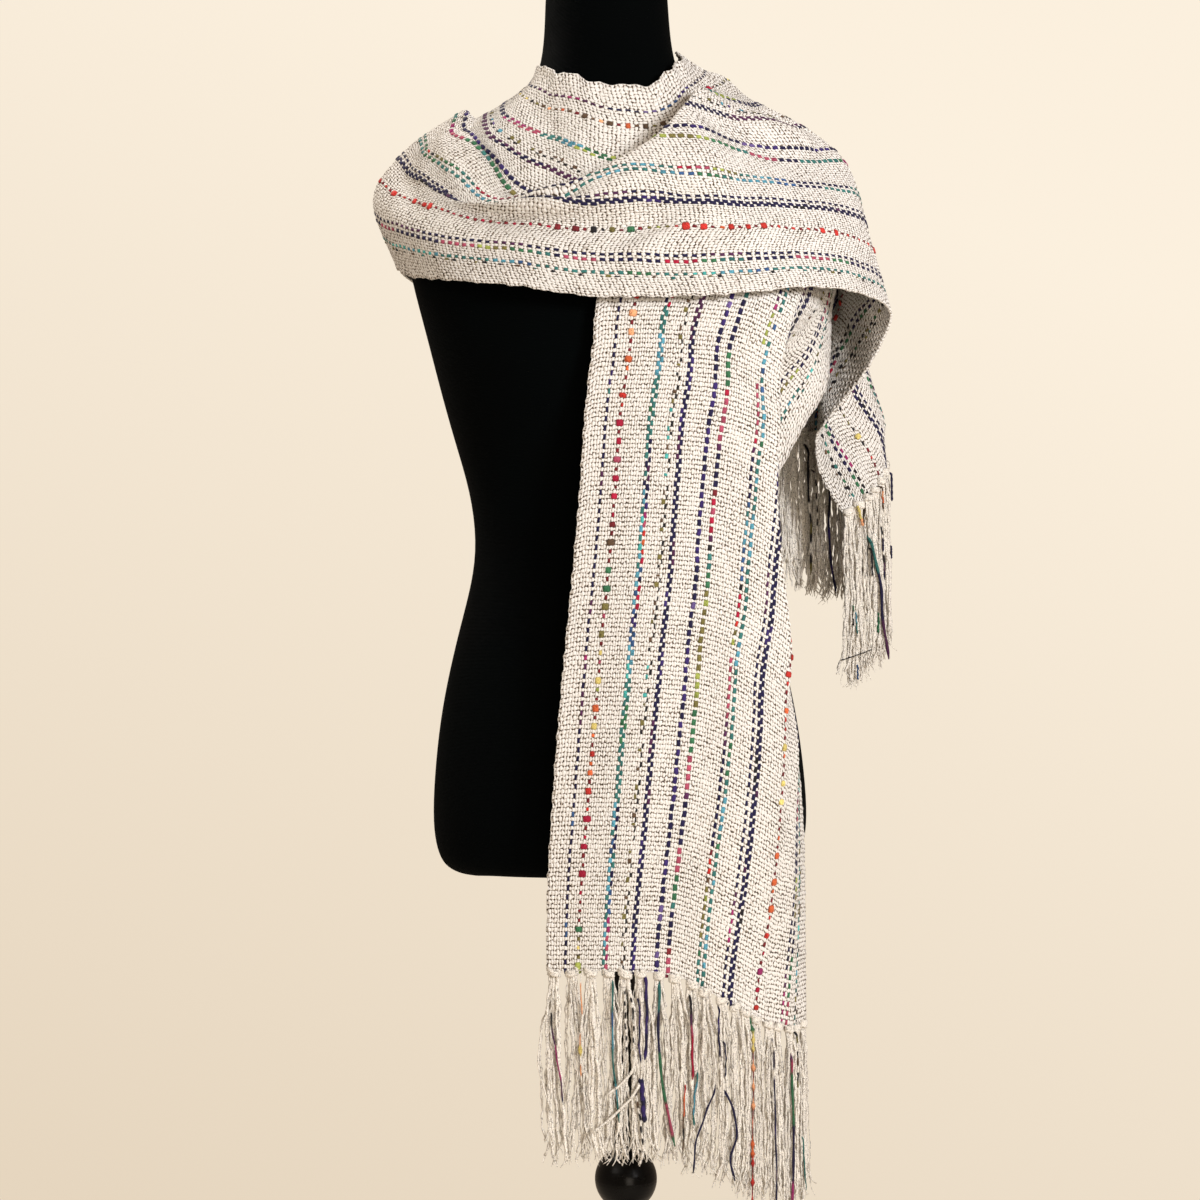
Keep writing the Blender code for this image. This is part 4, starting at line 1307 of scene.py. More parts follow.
@dataclass(frozen=True)
class WovenCotton:
    """Cream cotton in plain weave: fat weft floats over a sunk warp, with painted shade and pit shadow low
    between them.
    """

    light: tuple = (0.95, 0.93, 0.895)
    # The next two colours are painted shade, on the low yarns and as shadow in the pits between them,
    # spread also by random patches and spots.
    painted_shade: tuple = (0.43, 0.34, 0.25)
    pit_shadow: tuple = (0.060, 0.042, 0.027)
    painted_shade_below: tuple = (1.24, 0.98)  # where painted shade starts to darken the light colour, and has
    # the same for the painted shadow in the pits
    pit_shadow_below: tuple = (1.09, 0.93)
    waviness: float = 0.42  # how far the yarns wander, in yarns
    fibre_scale: float = 1700.0
    patch_scale: float = 40.0
    spot_scale: float = 480.0
    depth: float = 0.0013

    def crossing(self, nodes: Nodes, weave: NodeSocket) -> tuple:
        """Make the waves across the warp and along it, which are 1 or -1 on a yarn's middle.

        Args:
            nodes: the material's nodes.
            weave: the cloth's own coordinates, in metres.

        Returns:
            The two waves' sockets.
        """
        axes = nodes.add("ShaderNodeSeparateXYZ", {0: weave})
        waves = []
        for axis, pitch, scale in ((0, WEAVE.end, 210.0), (1, WEAVE.pick, 300.0)):
            wander = nodes.noise(weave, scale, 1.0)
            shift = nodes.calculate("MULTIPLY_ADD", wander, 2 * math.pi * self.waviness,
                                    -math.pi * self.waviness)
            turns = nodes.calculate("MULTIPLY", axes.outputs[axis], math.pi / (pitch * CM))
            waves.append(nodes.calculate("COSINE", nodes.calculate("ADD", turns, shift)))
        return tuple(waves)

    def surface(self, nodes: Nodes, waves: tuple) -> NodeSocket:
        """Make the height of whichever yarn lies on top, from about 0 in a pit to 1.

        Args:
            nodes: the material's nodes.
            waves: the waves across the warp and along it.

        Returns:
            The height's socket.
        """
        heights = []
        for own, other, lift, swing, round_part in ((waves[1], waves[0], 0.0, 0.44, 0.56),
                                                    (waves[0], waves[1], -0.16, -0.40, 0.50)):
            rise = nodes.calculate("MULTIPLY", other, nodes.calculate("SIGN", own))
            back = nodes.calculate("POWER", nodes.calculate("ABSOLUTE", own), 0.6)
            height = nodes.calculate("MULTIPLY_ADD", rise, swing, lift)
            heights.append(nodes.calculate("MULTIPLY_ADD", back, round_part, height))
        return nodes.calculate("MAXIMUM", *heights)

    def make(self) -> Material:
        """Make the material, which follows the cloth's Weave map.

        Returns:
            The material.
        """
        nodes = Finish("woven_cotton_finish")
        weave = nodes.add("ShaderNodeUVMap", uv_map="Weave").outputs[0]
        height = self.surface(nodes, self.crossing(nodes, weave))
        fibre = nodes.noise(weave, self.fibre_scale, 2.0, 0.6)
        patches = nodes.noise(weave, self.patch_scale, 3.0)
        spot = nodes.noise(weave, self.spot_scale, 1.0)
        # Painted shade and pit shadow fall where the yarns lie low, and in random patches and spots.
        mark = nodes.calculate("MULTIPLY_ADD", patches, 0.35, nodes.calculate("ADD", spot, height))
        colour = nodes.blend(nodes.ramp(mark, *self.painted_shade_below), self.light, self.painted_shade)
        colour = nodes.blend(nodes.ramp(mark, *self.pit_shadow_below), colour, self.pit_shadow)
        shade = nodes.calculate("MULTIPLY_ADD", fibre, 0.24, 0.88)
        nodes.shade(Base_Color=nodes.brighten(colour, shade),
                    Roughness=nodes.ramp(fibre, 0.2, 0.8, 0.86, 0.97),
                    Sheen_Weight=0.08, Specular_IOR_Level=0.2)
        nodes.bump(nodes.calculate("MULTIPLY_ADD", fibre, 0.3, height), self.depth)
        return nodes.material


@dataclass(frozen=True)
class SpunYarn:
    """Dyed or cream yarn, whose colour, with the floats' painted light, is on its mesh and whose fibres
    catch the light.
    """

    name: str
    depth: float = 0.0003
    fibre_gap_shade: float = 0.0  # how light the painted shade leaves the gaps between its fibres, or 0 for none
    fibre_scale: float = 1500.0
    gap_scale: float = 620.0

    def make(self) -> Material:
        """Make the material, which reads the yarn's Dye attribute.

        Returns:
            The material.
        """
        nodes = Finish(self.name)
        # The yarn's dye colour, with the floats' painted highlight and shade in it
        dye = nodes.add("ShaderNodeAttribute", attribute_name="Dye").outputs["Color"]
        fibre = nodes.noise(nodes.place(), self.fibre_scale, 2.0, 0.65)
        shade = nodes.ramp(fibre, 0.25, 0.75, 0.62, 1.4)
        if self.fibre_gap_shade:
            # Painted shade in random spots, for the shadowed gaps between fibres
            gap = nodes.noise(nodes.place(), self.gap_scale, 1.0)
            gap = nodes.ramp(gap, 0.56, 0.68, 1.0, self.fibre_gap_shade)
            shade = nodes.calculate("MULTIPLY", shade, gap)
        nodes.shade(Base_Color=nodes.brighten(dye, shade),
                    Roughness=nodes.ramp(fibre, 0.3, 0.7, 0.62, 0.85),
                    Sheen_Weight=0.1, Specular_IOR_Level=0.25)
        nodes.bump(fibre, self.depth)
        return nodes.material


@dataclass(frozen=True)
class BlackCoat:
    """A black finish with level bands in it: faint rings from the lathe, or the rows of a knit."""

    name: str
    roughness: tuple  # where its patches are least and most worn
    colour: tuple = (0.0018, 0.0018, 0.002)
    patches: tuple = (60.0, 4.0)  # their scale and detail
    shading: tuple = (0.4, 0.8, 0.8, 1.8)  # the ramp by which they darken and lighten it
    roughening: tuple = (0.3, 0.75)  # the patches' values between which the roughness changes
    bands_scale: float = 90.0
    bands_waver: float = 0.6
    depth: float = 0.00003
    specular: float = 0.15
    sheen: float = 0.0

    def make(self) -> Material:
        """Make the material, on the piece's own coordinates.

        Returns:
            The material.
        """
        nodes = Finish(self.name)
        place = nodes.place()
        patches = nodes.noise(place, *self.patches)
        nodes.shade(Base_Color=nodes.brighten(self.colour, nodes.ramp(patches, *self.shading)),
                    Roughness=nodes.ramp(patches, *self.roughening, *self.roughness),
                    Specular_IOR_Level=self.specular, Sheen_Weight=self.sheen,
                    Sheen_Tint=(0.45, 0.62, 0.8))
        bands = nodes.add("ShaderNodeTexWave", {"Vector": place, "Scale": self.bands_scale,
                                                "Distortion": self.bands_waver}, bands_direction="Z")
        nodes.bump(bands.outputs["Fac"], self.depth)
        return nodes.material


@dataclass(frozen=True)
class FloorPaint:
    """The floor's pale paint."""

    colour: tuple = (0.80, 0.73, 0.62)

    def make(self) -> Material:
        """Make the material, on the floor's own coordinates.

        Returns:
            The material.
        """
        nodes = Finish("floor_finish")
        grain = nodes.ramp(nodes.noise(nodes.place(), 6.0, 4.0), 0.3, 0.7, 0.97, 1.03)
        nodes.shade(Base_Color=nodes.brighten(self.colour, grain), Roughness=0.8)
        return nodes.material


@dataclass(frozen=True)
class DyedStrand:
    """A coloured strand of a fringe, beside the cream ones.

    Its run is read as a warp yarn's is, with a letter for each equal part of its length. Its
    sway is a row of sideways shifts, evenly down it.
    """

    hem: float  # share of the way along the hem, from the neck selvedge
    run: str
    radius: float = 0.07
    length: float = 1.0  # share of the fringe's length there
    start: float = 0.0  # share of the fringe's length where it comes out
    sway: tuple = (0.0, 0.0)
    forward: float = 0.50  # how far it stands out of the middle of the fringe


class HemPlace(NamedTuple):
    """A place on the hem: its point, the ways out and along, and how long the fringe is there."""

    point: np.ndarray
    out: np.ndarray
    ahead: np.ndarray
    length: float


class Wave(NamedTuple):
    """A small wave down a strand."""

    height: float
    turns: float  # radians down the whole strand
    phase: int  # which of the strand's random phases it takes


SIDE_WAVES = (Wave(0.10, 4.0, 0), Wave(0.07, 11.0, 1), Wave(0.05, 31.0, 2), Wave(0.034, 97.0, 4))
DEEP_WAVES = (Wave(0.05, 13.0, 3), Wave(0.03, 83.0, 5))
DOWN = np.array([0.0, 0.0, -1.0])
CREAM = np.array(Dye.CREAM.colour)


def swing(waves: tuple, t: np.ndarray, phases: np.ndarray, start: object = 0.0) -> np.ndarray:
    """Return the sum of waves at shares of a strand's length, from a start on."""
    return sum((wave.height * np.sin(wave.turns * t + phases[wave.phase]) for wave in waves), start)


@dataclass
class Fringe:
    """A knotted fringe: bundles of slubby cream strands under a knot each, and dyed strands."""

    name: str
    hem: np.ndarray  # points along the hem
    outward: np.ndarray  # the way out of the cloth at each of them
    lengths: tuple  # at the neck selvedge and at the outer one
    knots: int
    dyed: tuple
    seed: int
    strands: int = 12  # in each bundle
    steps: int = 52  # down a cream strand
    dyed_steps: int = 40
    knot_steps: int = 30
    knot_turns: float = 2.6
    knot_radius: float = 0.19  # of the strand that winds it
    bundle_share: float = 0.58  # of the room between knots that a bundle's half width takes
    bundle_neck: float = 0.34  # half its width under the knot
    radii: tuple = (0.088, 0.128)
    stray_radius: float = 0.4  # a stray strand's, as a share of a full one's
    stray_sway: float = 1.6  # how much more than the others a stray strand sways
    shades: tuple = (0.88, 1.08)
    unevenness: float = 0.13  # share of its length that a cream strand may lack
    bow: float = 0.42  # how far a bundle bows and leans, at most
    curl_start: float = 0.86  # share of a strand's length where its end starts to curl
    wisps: int = 2  # at each cut end
    wisp_reach: tuple = (0.2, 0.75)
    bead_growth: float = 2.6  # how much thicker a bead on a dyed strand is
    points: list = field(default_factory=list)
    faces: list = field(default_factory=list)
    colours: list = field(default_factory=list)

    def __post_init__(self) -> None:
        """Seed the small differences."""
        self.random = np.random.default_rng(self.seed)

    def at_hem(self, share: float) -> HemPlace:
        """Find a place on the hem.

        Args:
            share: how far along the hem it is, from 0 at the neck selvedge to 1.

        Returns:
            The place.
        """
        distance = travelled(self.hem)
        wanted, reach = share * distance[-1], 0.4
        behind, point, ahead = (read_columns(wanted + shift, distance, self.hem)
                                for shift in (-reach, 0.0, reach))
        level = np.array([1.0, 1.0, 0.0])
        length = self.lengths[0] + (self.lengths[1] - self.lengths[0]) * share
        return HemPlace(point, unit(read_columns(wanted, distance, self.outward) * level),
                        unit((ahead - behind) * level), length)

    def build(self) -> Object:
        """Tie the knots and hang the strands, in one mesh with a colour for each point.

        Returns:
            The fringe.
        """
        for knot in range(self.knots):
            self.tie((knot + 0.5) / self.knots)
        for strand in self.dyed:
            self.hang_dyed(strand)
        return make_object(self.name, np.concatenate(self.points), self.faces,
                           np.concatenate(self.colours))

    def tie(self, share: float) -> None:
        """Tie one knot at the hem and hang its cream strands, and a quarter as many stray ones.

        Args:
            share: where it is along the hem.
        """
        place = self.at_hem(share + 0.1 * self.random.uniform(-1, 1) / self.knots)
        place = place._replace(point=place.point + 0.14 * DOWN + 0.06 * place.out)
        self.wind_knot(place)
        drift = self.random.uniform(-self.bow, self.bow, 2)
        for number in range(self.strands + self.strands // 4):
            aside = (number + 0.5) / self.strands * 2 - 1 + 0.3 * self.random.uniform(-1, 1)
            stray = number >= self.strands
            if stray:
                aside = self.random.uniform(-1.3, 1.3)
            self.hang_cream(place, aside, stray, drift)

    def hang_cream(self, place: HemPlace, aside: float, stray: bool, drift: np.ndarray) -> None:
        """Hang one cream strand of a bundle.

        Args:
            place: the middle of the bundle's knot.
            aside: where the strand is in the bundle, from -1 to 1 across it.
            stray: whether it is a thin strand that strays out of the bundle.
            drift: how far the whole bundle bows and leans.
        """
        reach = place.length * (1 - self.unevenness * self.random.random() ** 2)
        t = np.linspace(0, 1, self.steps + 1)
        wide = self.bundle_share * travelled(self.hem)[-1] / self.knots
        spread = (self.bundle_neck
                  + (wide * (0.85 + 0.35 * t) - self.bundle_neck) * smooth_step(t / 0.35))
        phases = self.random.uniform(0, 2 * math.pi, 6)
        sway = swing(SIDE_WAVES, t, phases)
        ending = np.maximum(t - self.curl_start, 0)
        curl = self.random.uniform(-1, 1) * (0.6 * ending / (1 - self.curl_start)) ** 2
        loose = self.stray_sway if stray else 1.0
        side = (aside * spread + loose * sway * smooth_step(t / 0.12) + 1.8 * curl
                + drift[0] * np.sin(math.pi * t) + 0.5 * drift[1] * t ** 2)
        deep = swing(DEEP_WAVES, t, phases, self.random.uniform(-0.36, 0.36) * smooth_step(t / 0.15))
        line = (place.point + place.ahead * side[:, None] + place.out * deep[:, None]
                + DOWN * (0.1 + (reach - 0.1) * t)[:, None])
        slub = 1 + 0.28 * np.sin(47 * t + phases[4]) * np.sin(19 * t + phases[5])
        slub = slub + self.random.uniform(-0.26, 0.26, self.steps + 1)
        radius = self.random.uniform(*self.radii) * slub * (1 - 0.2 * t ** 10)
        if stray:
            radius = self.stray_radius * radius
        shade = self.random.uniform(*self.shades)
        self.sweep(line, radius, CREAM * shade, 4)
        self.fray(place, line[-1], radius[-1])

    def fray(self, place: HemPlace, end: np.ndarray, radius: float) -> None:
        """Split a strand's cut end into fine wisps.

        Args:
            place: the middle of the bundle's knot.
            end: where the strand ends.
            radius: the strand's radius there.
        """
        t = np.linspace(0, 1, 6)
        for _ in range(self.wisps):
            lean, bend = self.random.uniform(-0.8, 0.8, 2)
            reach = self.random.uniform(*self.wisp_reach)
            line = (end + place.ahead * (lean * t * reach * (1 + bend * t))[:, None]
                    + place.out * (0.3 * bend * t * reach)[:, None]
                    + DOWN * (reach * t - 0.05)[:, None])
            self.sweep(line, 0.72 * radius * (1 - 0.45 * t), CREAM, 3)

    def wind_knot(self, place: HemPlace) -> None:
        """Wind a bundle's knot as a short thick coil of one strand.

        Args:
            place: its middle.
        """
        count = self.knot_steps + 1
        angle = np.linspace(0, 2 * math.pi * self.knot_turns, count) + self.random.uniform(0, 6)
        rise = np.linspace(-0.24, 0.24, count) + 0.04 * np.sin(3 * angle)
        wide = 0.38 + 0.10 * self.random.random()
        tilt = self.random.uniform(-0.35, 0.35)
        line = (place.point + place.ahead * (wide * np.cos(angle))[:, None]
                + place.out * (0.25 * np.sin(angle))[:, None]
                - DOWN * (rise + tilt * wide * np.cos(angle))[:, None])
        uneven = 1 + 0.15 * np.sin(5 * angle) + 0.1 * self.random.uniform(-1, 1, count)
        self.sweep(line, self.knot_radius * uneven, CREAM, 6)

    def hang_dyed(self, strand: DyedStrand) -> None:
        """Hang one coloured strand among the cream ones.

        Args:
            strand: the strand.
        """
        place = self.at_hem(strand.hem)
        t = np.linspace(0, 1, self.dyed_steps + 1)
        bends = spline(np.array(strand.sway)[:, None])
        sway = np.interp(t, np.linspace(0, 1, len(bends)), bends[:, 0])
        sway = sway + 0.03 * np.sin(17 * t + self.random.uniform(0, 6))
        low = place.length * (strand.start + (strand.length - strand.start) * t)
        line = (place.point + place.ahead * sway[:, None]
                + place.out * (strand.forward * smooth_step(t / 0.1))[:, None]
                + DOWN * (0.15 + low)[:, None])
        run = read_run(strand.run)
        index = np.minimum((t * len(run)).astype(int), len(run) - 1)
        beads = np.array([run[i][1] for i in index], float)
        middle = 1 - np.abs(2 * (t * len(run) - index) - 1)
        radius = strand.radius * (1 + self.bead_growth * beads * middle) * (1 + 0.15 * np.sin(29 * t))
        radius = radius * (0.4 + 0.6 * smooth_step(t / 0.06) * smooth_step((1 - t) / 0.06))
        self.sweep(line, radius, np.array([run[i][0].colour for i in index]), 5)

    def sweep(self, line: np.ndarray, radius: np.ndarray, colours: np.ndarray, sides: int) -> None:
        """Sweep a closed tube along a line.

        Args:
            line: its points.
            radius: the tube's radius at each.
            colours: the tube's colour, or its colour at each.
            sides: the tube's sides.
        """
        ahead = unit(np.gradient(line, axis=0))
        across = unit(np.cross(ahead, np.array([0.13, 1.0, 0.21])))
        up = np.cross(ahead, across)
        angle = 2 * math.pi * np.arange(sides) / sides
        ring = (across[:, None] * np.cos(angle)[None, :, None]
                + up[:, None] * np.sin(angle)[None, :, None])
        points = line[:, None] + ring * radius[:, None, None]
        base = sum(len(made) for made in self.points)
        ids = base + np.arange(len(line) * sides).reshape(len(line), sides)
        after = np.roll(ids, -1, axis=1)
        quads = np.stack([ids[:-1], after[:-1], after[1:], ids[1:]], axis=-1).reshape(-1, 4)
        self.faces += quads.tolist() + [ids[0, ::-1].tolist(), ids[-1].tolist()]
        self.points.append(points.reshape(-1, 3))
        self.colours.append(np.repeat(np.broadcast_to(colours, line.shape), sides, axis=0))


FRONT_STRANDS = (
    DyedStrand(0.005, ".", 0.08, 0.75, 0.2, (-0.1, -0.7, -0.9, -0.5, 0.3)),
    DyedStrand(0.012, "K2U2M4U2N", 0.07, 0.70, 0.2, (0.0, 0.2, 0.5, 0.8, 1.0)),
    DyedStrand(0.105, ".H3.2HY*.H.", 0.06, 0.6, 0.0, (0.0, 0.1, -0.1, 0.0)),
    DyedStrand(0.200, "T3BS2T3ST2", 0.09, 0.80, 0.02, (0.0, -0.05, -0.1, 0.1, 0.4)),
    DyedStrand(0.235, "K.K.K.K.K.K", 0.085, 0.42, 0.08, (0.0, 0.0, 0.1)),
    DyedStrand(0.255, "K.K2.K.K.", 0.08, 0.40, 0.12, (0.0, 0.1, 0.1)),
    DyedStrand(0.270, "K.W.K.K.K", 0.09, 0.92, 0.62, (-0.3, 0.1, 0.3)),
    DyedStrand(0.275, "NV2N2VN", 0.075, 0.48, 0.12, (0.0, 0.1, 0.0, 0.1)),
    DyedStrand(0.298, "V3N2V2N2V", 0.14, 0.46, 0.0, (0.0, 0.05, 0.0, -0.15)),
    DyedStrand(0.283, "NVV2NV2N", 0.22, 0.80, 0.56, (-0.1, 0.0, 0.1)),
    DyedStrand(0.342, "T4N5G6P4G", 0.13, 0.93, 0.02, (0.0, -0.15, -0.2, 0.05, 0.5, 1.1)),
    DyedStrand(0.445, "K2UPC4", 0.11, 0.52, 0.05, (-0.1, 0.0, 0.0)),
    DyedStrand(0.420, "RO2WKW", 0.07, 0.93, 0.55, (0.0, -0.2, -0.3)),
    DyedStrand(0.465, "TS3T", 0.09, 0.76, 0.46, (0.0, -0.4, -0.5)),
    DyedStrand(0.540, "NVN2", 0.085, 0.32, 0.04, (0.0, -0.1, 0.0)),
    DyedStrand(0.556, "N2KN", 0.07, 0.42, 0.22, (0.0, 0.1, 0.0)),
    DyedStrand(0.535, "N5", 0.085, 0.95, 0.48, (-0.2, -1.3, -2.2, -2.4)),
    DyedStrand(0.552, "N5", 0.105, 1.0, 0.48, (0.0, 0.8, 1.1, 0.5, 0.8)),
    DyedStrand(0.672, "G*G*Y*Y*DH*DH*DH*DODO*O*R*DR*DR*", 0.055, 1.06, 0.0,
               (0.0, 0.0, -0.15, -0.3, -0.4)),
    DyedStrand(0.770, "N.N2.N5VN4UN3", 0.075, 1.04, 0.03, (0.0, 0.0, 0.05, 0.1, 0.0)),
    DyedStrand(0.862, "UPG4N4M2", 0.12, 1.03, 0.10, (0.0, 0.0, 0.05, 0.1, -0.1, -0.3)),
    DyedStrand(0.890, "KE.KW.KE.", 0.10, 0.38, 0.0, (0.0, 0.1, 0.0)),
    DyedStrand(0.925, "T4", 0.07, 0.96, 0.62, (0.0, 0.2, 0.5)),
    DyedStrand(0.258, ".", 0.12, 0.64, 0.40, (0.1, 0.0, -0.7, -2.4), 0.75),
    DyedStrand(0.275, ".", 0.13, 0.84, 0.58, (0.1, -0.9, -2.4, -4.2), 0.75),
)

TAIL_STRANDS = (
    DyedStrand(0.15, "K6.KEK.KE", 0.12, 0.93, 0.06, (0.0, -0.3, -0.25, -0.1, -0.1, -0.2), -1.2),
    DyedStrand(0.18, "K.K.K.K.K.", 0.08, 0.64, 0.22, (0.0, 0.1, 0.15), -1.15),
    DyedStrand(0.26, "K2NKN2VN3VN2", 0.13, 0.99, 0.22, (0.0, 0.0, -0.1, 0.1, 0.5), -0.85),
    DyedStrand(0.92, "Y2H", 0.14, 0.12, 0.0, (0.1, -0.1, -0.4)),
    DyedStrand(0.87, "T4N5U4", 0.15, 0.94, 0.20, (0.0, -0.5, -1.1, -1.15, -1.45, -1.8), 0.7),
    DyedStrand(0.80, "K2.K2.N3.K2U2N2", 0.09, 0.54, 0.15, (0.0, -0.25, -0.4, -0.5), 0.6),
    DyedStrand(0.78, "WHOW", 0.09, 0.14, 0.0, (0.0, -0.1), 0.6),
    DyedStrand(0.66, "N3", 0.12, 0.20, 0.02, (0.0, 0.1), 0.6),
    DyedStrand(0.68, "N", 0.10, 0.53, 0.45, (0.0, 0.1), 0.5),
    DyedStrand(0.86, "K2", 0.09, 0.46, 0.29, (0.0, -0.1), 0.6),
    DyedStrand(0.955, "G.K.", 0.07, 0.72, 0.55, (0.0, 0.1)),
    DyedStrand(0.945, "ST", 0.08, 0.73, 0.60, (0.0, -0.1)),
    DyedStrand(0.94, "B2", 0.08, 1.0, 0.91, (0.0, 0.0)),
    DyedStrand(0.81, "G2", 0.14, 0.84, 0.72, (0.0, 0.25)),
    DyedStrand(0.96, "K3", 0.05, 0.81, 0.87, (1.3, -0.3, -1.8), 0.75),
)


YARNS = (
    WarpEnd(1.77, 0.24, 0.56, 0.06,
            "N4B2N10B2N9U4N2UMN4U2N12U2N8TV2N9VN4B3N8U6N8", "N5N2U5M2U3N4L2B3V3N8"),
    WarpEnd(3.05, 0.26, 0.38, 0.08,
            "I*EYEG*D3CDC*D2C*CDC*RDR*DO*OR*DOY*DO*DIY*DPYDE*DPE*DG*DG*D2W*DD*CDC*DC*DP*DC*DC*DRR*D2O"
            "O*D2H*DH*DR*DR*DE*D2", "KEKEKYEYKEWHWOWDW*WHW*DO*WW*EW*KE*KG*DR*DR*DC*D", slub=0.25),
    WarpEnd(5.82, 0.32, 0.62, 0.075,
            "T3S3T3S4B2TS3T6GTGT2ATA2S2B2VBSBS2TSATSATS2NTNT5GT3S5T3N2P2T9",
            "N8M3P2T3S3G3I2G3T5N5B3T2I3N3", slub=0.2),
    WarpEnd(6.10, 0.30, 0.56, 0.07,
            "PMP2M2B3N2T2N5T8G3T3S3B2VNC3NBCRORPMVN2U2N3T7S4T3C2M3N6P4B6",
            "N7M2P4T3S2I3G4T6N5B2N2T2I2N2", slub=0.2),
    WarpEnd(7.72, 0.30, 0.38, 0.07,
            "EW.EK.E2W.E.WE.2EW.E2.W.E.KE.EA.A2.KW.EW2.EWKE.2EW.EW.A.AWA2.AEW.KE.2EW.",
            ".4E.SL.S.E2.EW.W2.W.W.6W.E.W.E.4", slub=0.5),
    WarpEnd(7.98, 0.19, 0.44, 0.055, "K3.K5.K2.2K7.", slub=0.4),
    WarpEnd(8.76, 0.30, 0.60, 0.08, "N12V3N9U4N12V2N14U3V3N7U6N9", "U14N3U12N20"),
    WarpEnd(8.99, 0.30, 0.60, 0.08, "V4N14U2N12V3N9U3N16V4N4U7N9", "U10N5U14N20"),
    WarpEnd(11.35, 0.40, 0.66, 0.10,
            "V2LN3L2N3V2N6V4NVN2VN2V2NV3N4LN4V2NVNV3NVN2V3N2V3N3VN2V2LVN2N6V4N8L2N6",
            "V3N4V3N4V2N16V4N8V2N6L2V3N6", slub=0.08),
    WarpEnd(12.50, 0.44, 0.64, 0.10,
            "P2DN4TG3P3N5UP4G5EI3E7IEG2T2KUC2PCDN4UP5CG4N6T3M3N5G4",
            "T3GM2P3G3T2G5E2N4P5N6I2Y2I2E3I2G4T2P4N3T4", slub=0.08),
    WarpEnd(15.50, 0.27, 0.56, 0.07,
            "T3GTE4IEWR2DN10NU3P7.IERC3KB4S2STBN5UCP6.4I4MUN6C3G4",
            "T3G3RKE2G3T3C3P2D2N8T5S3T2C2P2I2E2T2S3B2N10", slub=0.12),
    WarpEnd(16.03, 0.34, 0.56, 0.075,
            "T2STS2T5ST3GTS4T2GTG2T8S3T9S5T3ST3GS5BTBS2T.B.T3S6T8", "T6G3T6S4T14S3T4S2B2G3T2S6B3N4T4",
            slub=0.12),
    WarpEnd(17.98, 0.24, 0.54, 0.06, "N6M4U2N30U5N9V2N20U4N9", "N20U4M2U6N2U4N30"),
    WarpEnd(18.52, 0.32, 0.64, 0.09, "N14UN9K3N12V2N9"),
    WarpEnd(18.76, 0.32, 0.64, 0.09, "N9K2N12UN16V2N7"),
    WarpEnd(21.33, 0.26, 0.38, 0.08,
            "DR*DC*DM*DCDR*DRO*DOO*D2O*DOD3Y*DY*D2OY*DR2O*D2RR*DR*DR*DO*DE*DR*D2C*DR*DO*D2E2.K.2W.E.2"
            "K.E.W.2YK.E.2WK.E2.K.2W.E.2K.E.W.2YK.E.2WK.",
            "RDR*DRDR*DRDR*DR2*DRDCDCDCDCDCDCDCD*DD*DK*KE*DG*DEIERR*DR*DOR*DR*DR*DRDRDRDR*DR*DRDRD",
            "D9R*DR*DKD.7EKE2KY*KDRD3", slub=0.25),
    WarpEnd(23.98, 0.26, 0.50, 0.06, "M4U2N22K3N9U4N14", "N8U6N10U4N20U4N18", "K3N5K4N3.6N3M4K4"),
    WarpEnd(24.50, 0.34, 0.54, 0.08,
            "P3G5N4E3I2N6P4G4N6T3C4N5I3G4N5", "N5P4N8P5I2E2G3T2NP4N7C4G2T3N6P5G3N4",
            "N4G2N2G3KPC2.6G2N5G3", slub=0.08),
    WarpEnd(25.75, 0.28, 0.48, 0.06,
            "T2KET2ST2KA2TET3", "T6A4S2A3ST7S3B2T10G3T4A3S4B2T18", "EKEGKEK2GKEKEK.4TGKTGKTKGKTK",
            slub=0.3),
    WarpEnd(26.10, 0.20, 0.36, 0.06, "KW.KTE.2K.W.", "K.EK.2EK.K.W.T.", slub=0.5),
)


@dataclass
class Fringes:
    """The fringes at the cloth's two ends."""

    drape: Drape
    yarn: SpunYarn = SpunYarn("fringe_yarn_finish", 0.0005, 0.42)

    def build(self) -> dict:
        """Build both fringes from the hems of the cloth.

        Returns:
            The fringes by the names of their stretches.
        """
        panel, tail = self.drape.named("scarf_front_panel"), self.drape.named("scarf_tail")
        finish = self.yarn.make()
        made = {}
        for fringe, node, stretch in (
                (Fringe("front_fringe", panel.points[0], panel.normals[0], lengths=(16.0, 15.2),
                        knots=19, dyed=FRONT_STRANDS, seed=11), "fringe_front", panel),
                (Fringe("tail_fringe", tail.points[-1], tail.normals[-1], lengths=(14.8, 16.3),
                        knots=18, dyed=TAIL_STRANDS, seed=12), "fringe_tail", tail)):
            thing = dress(fringe.build(), finish)
            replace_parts(thing, node)
            made[stretch.name] = thing
        return made


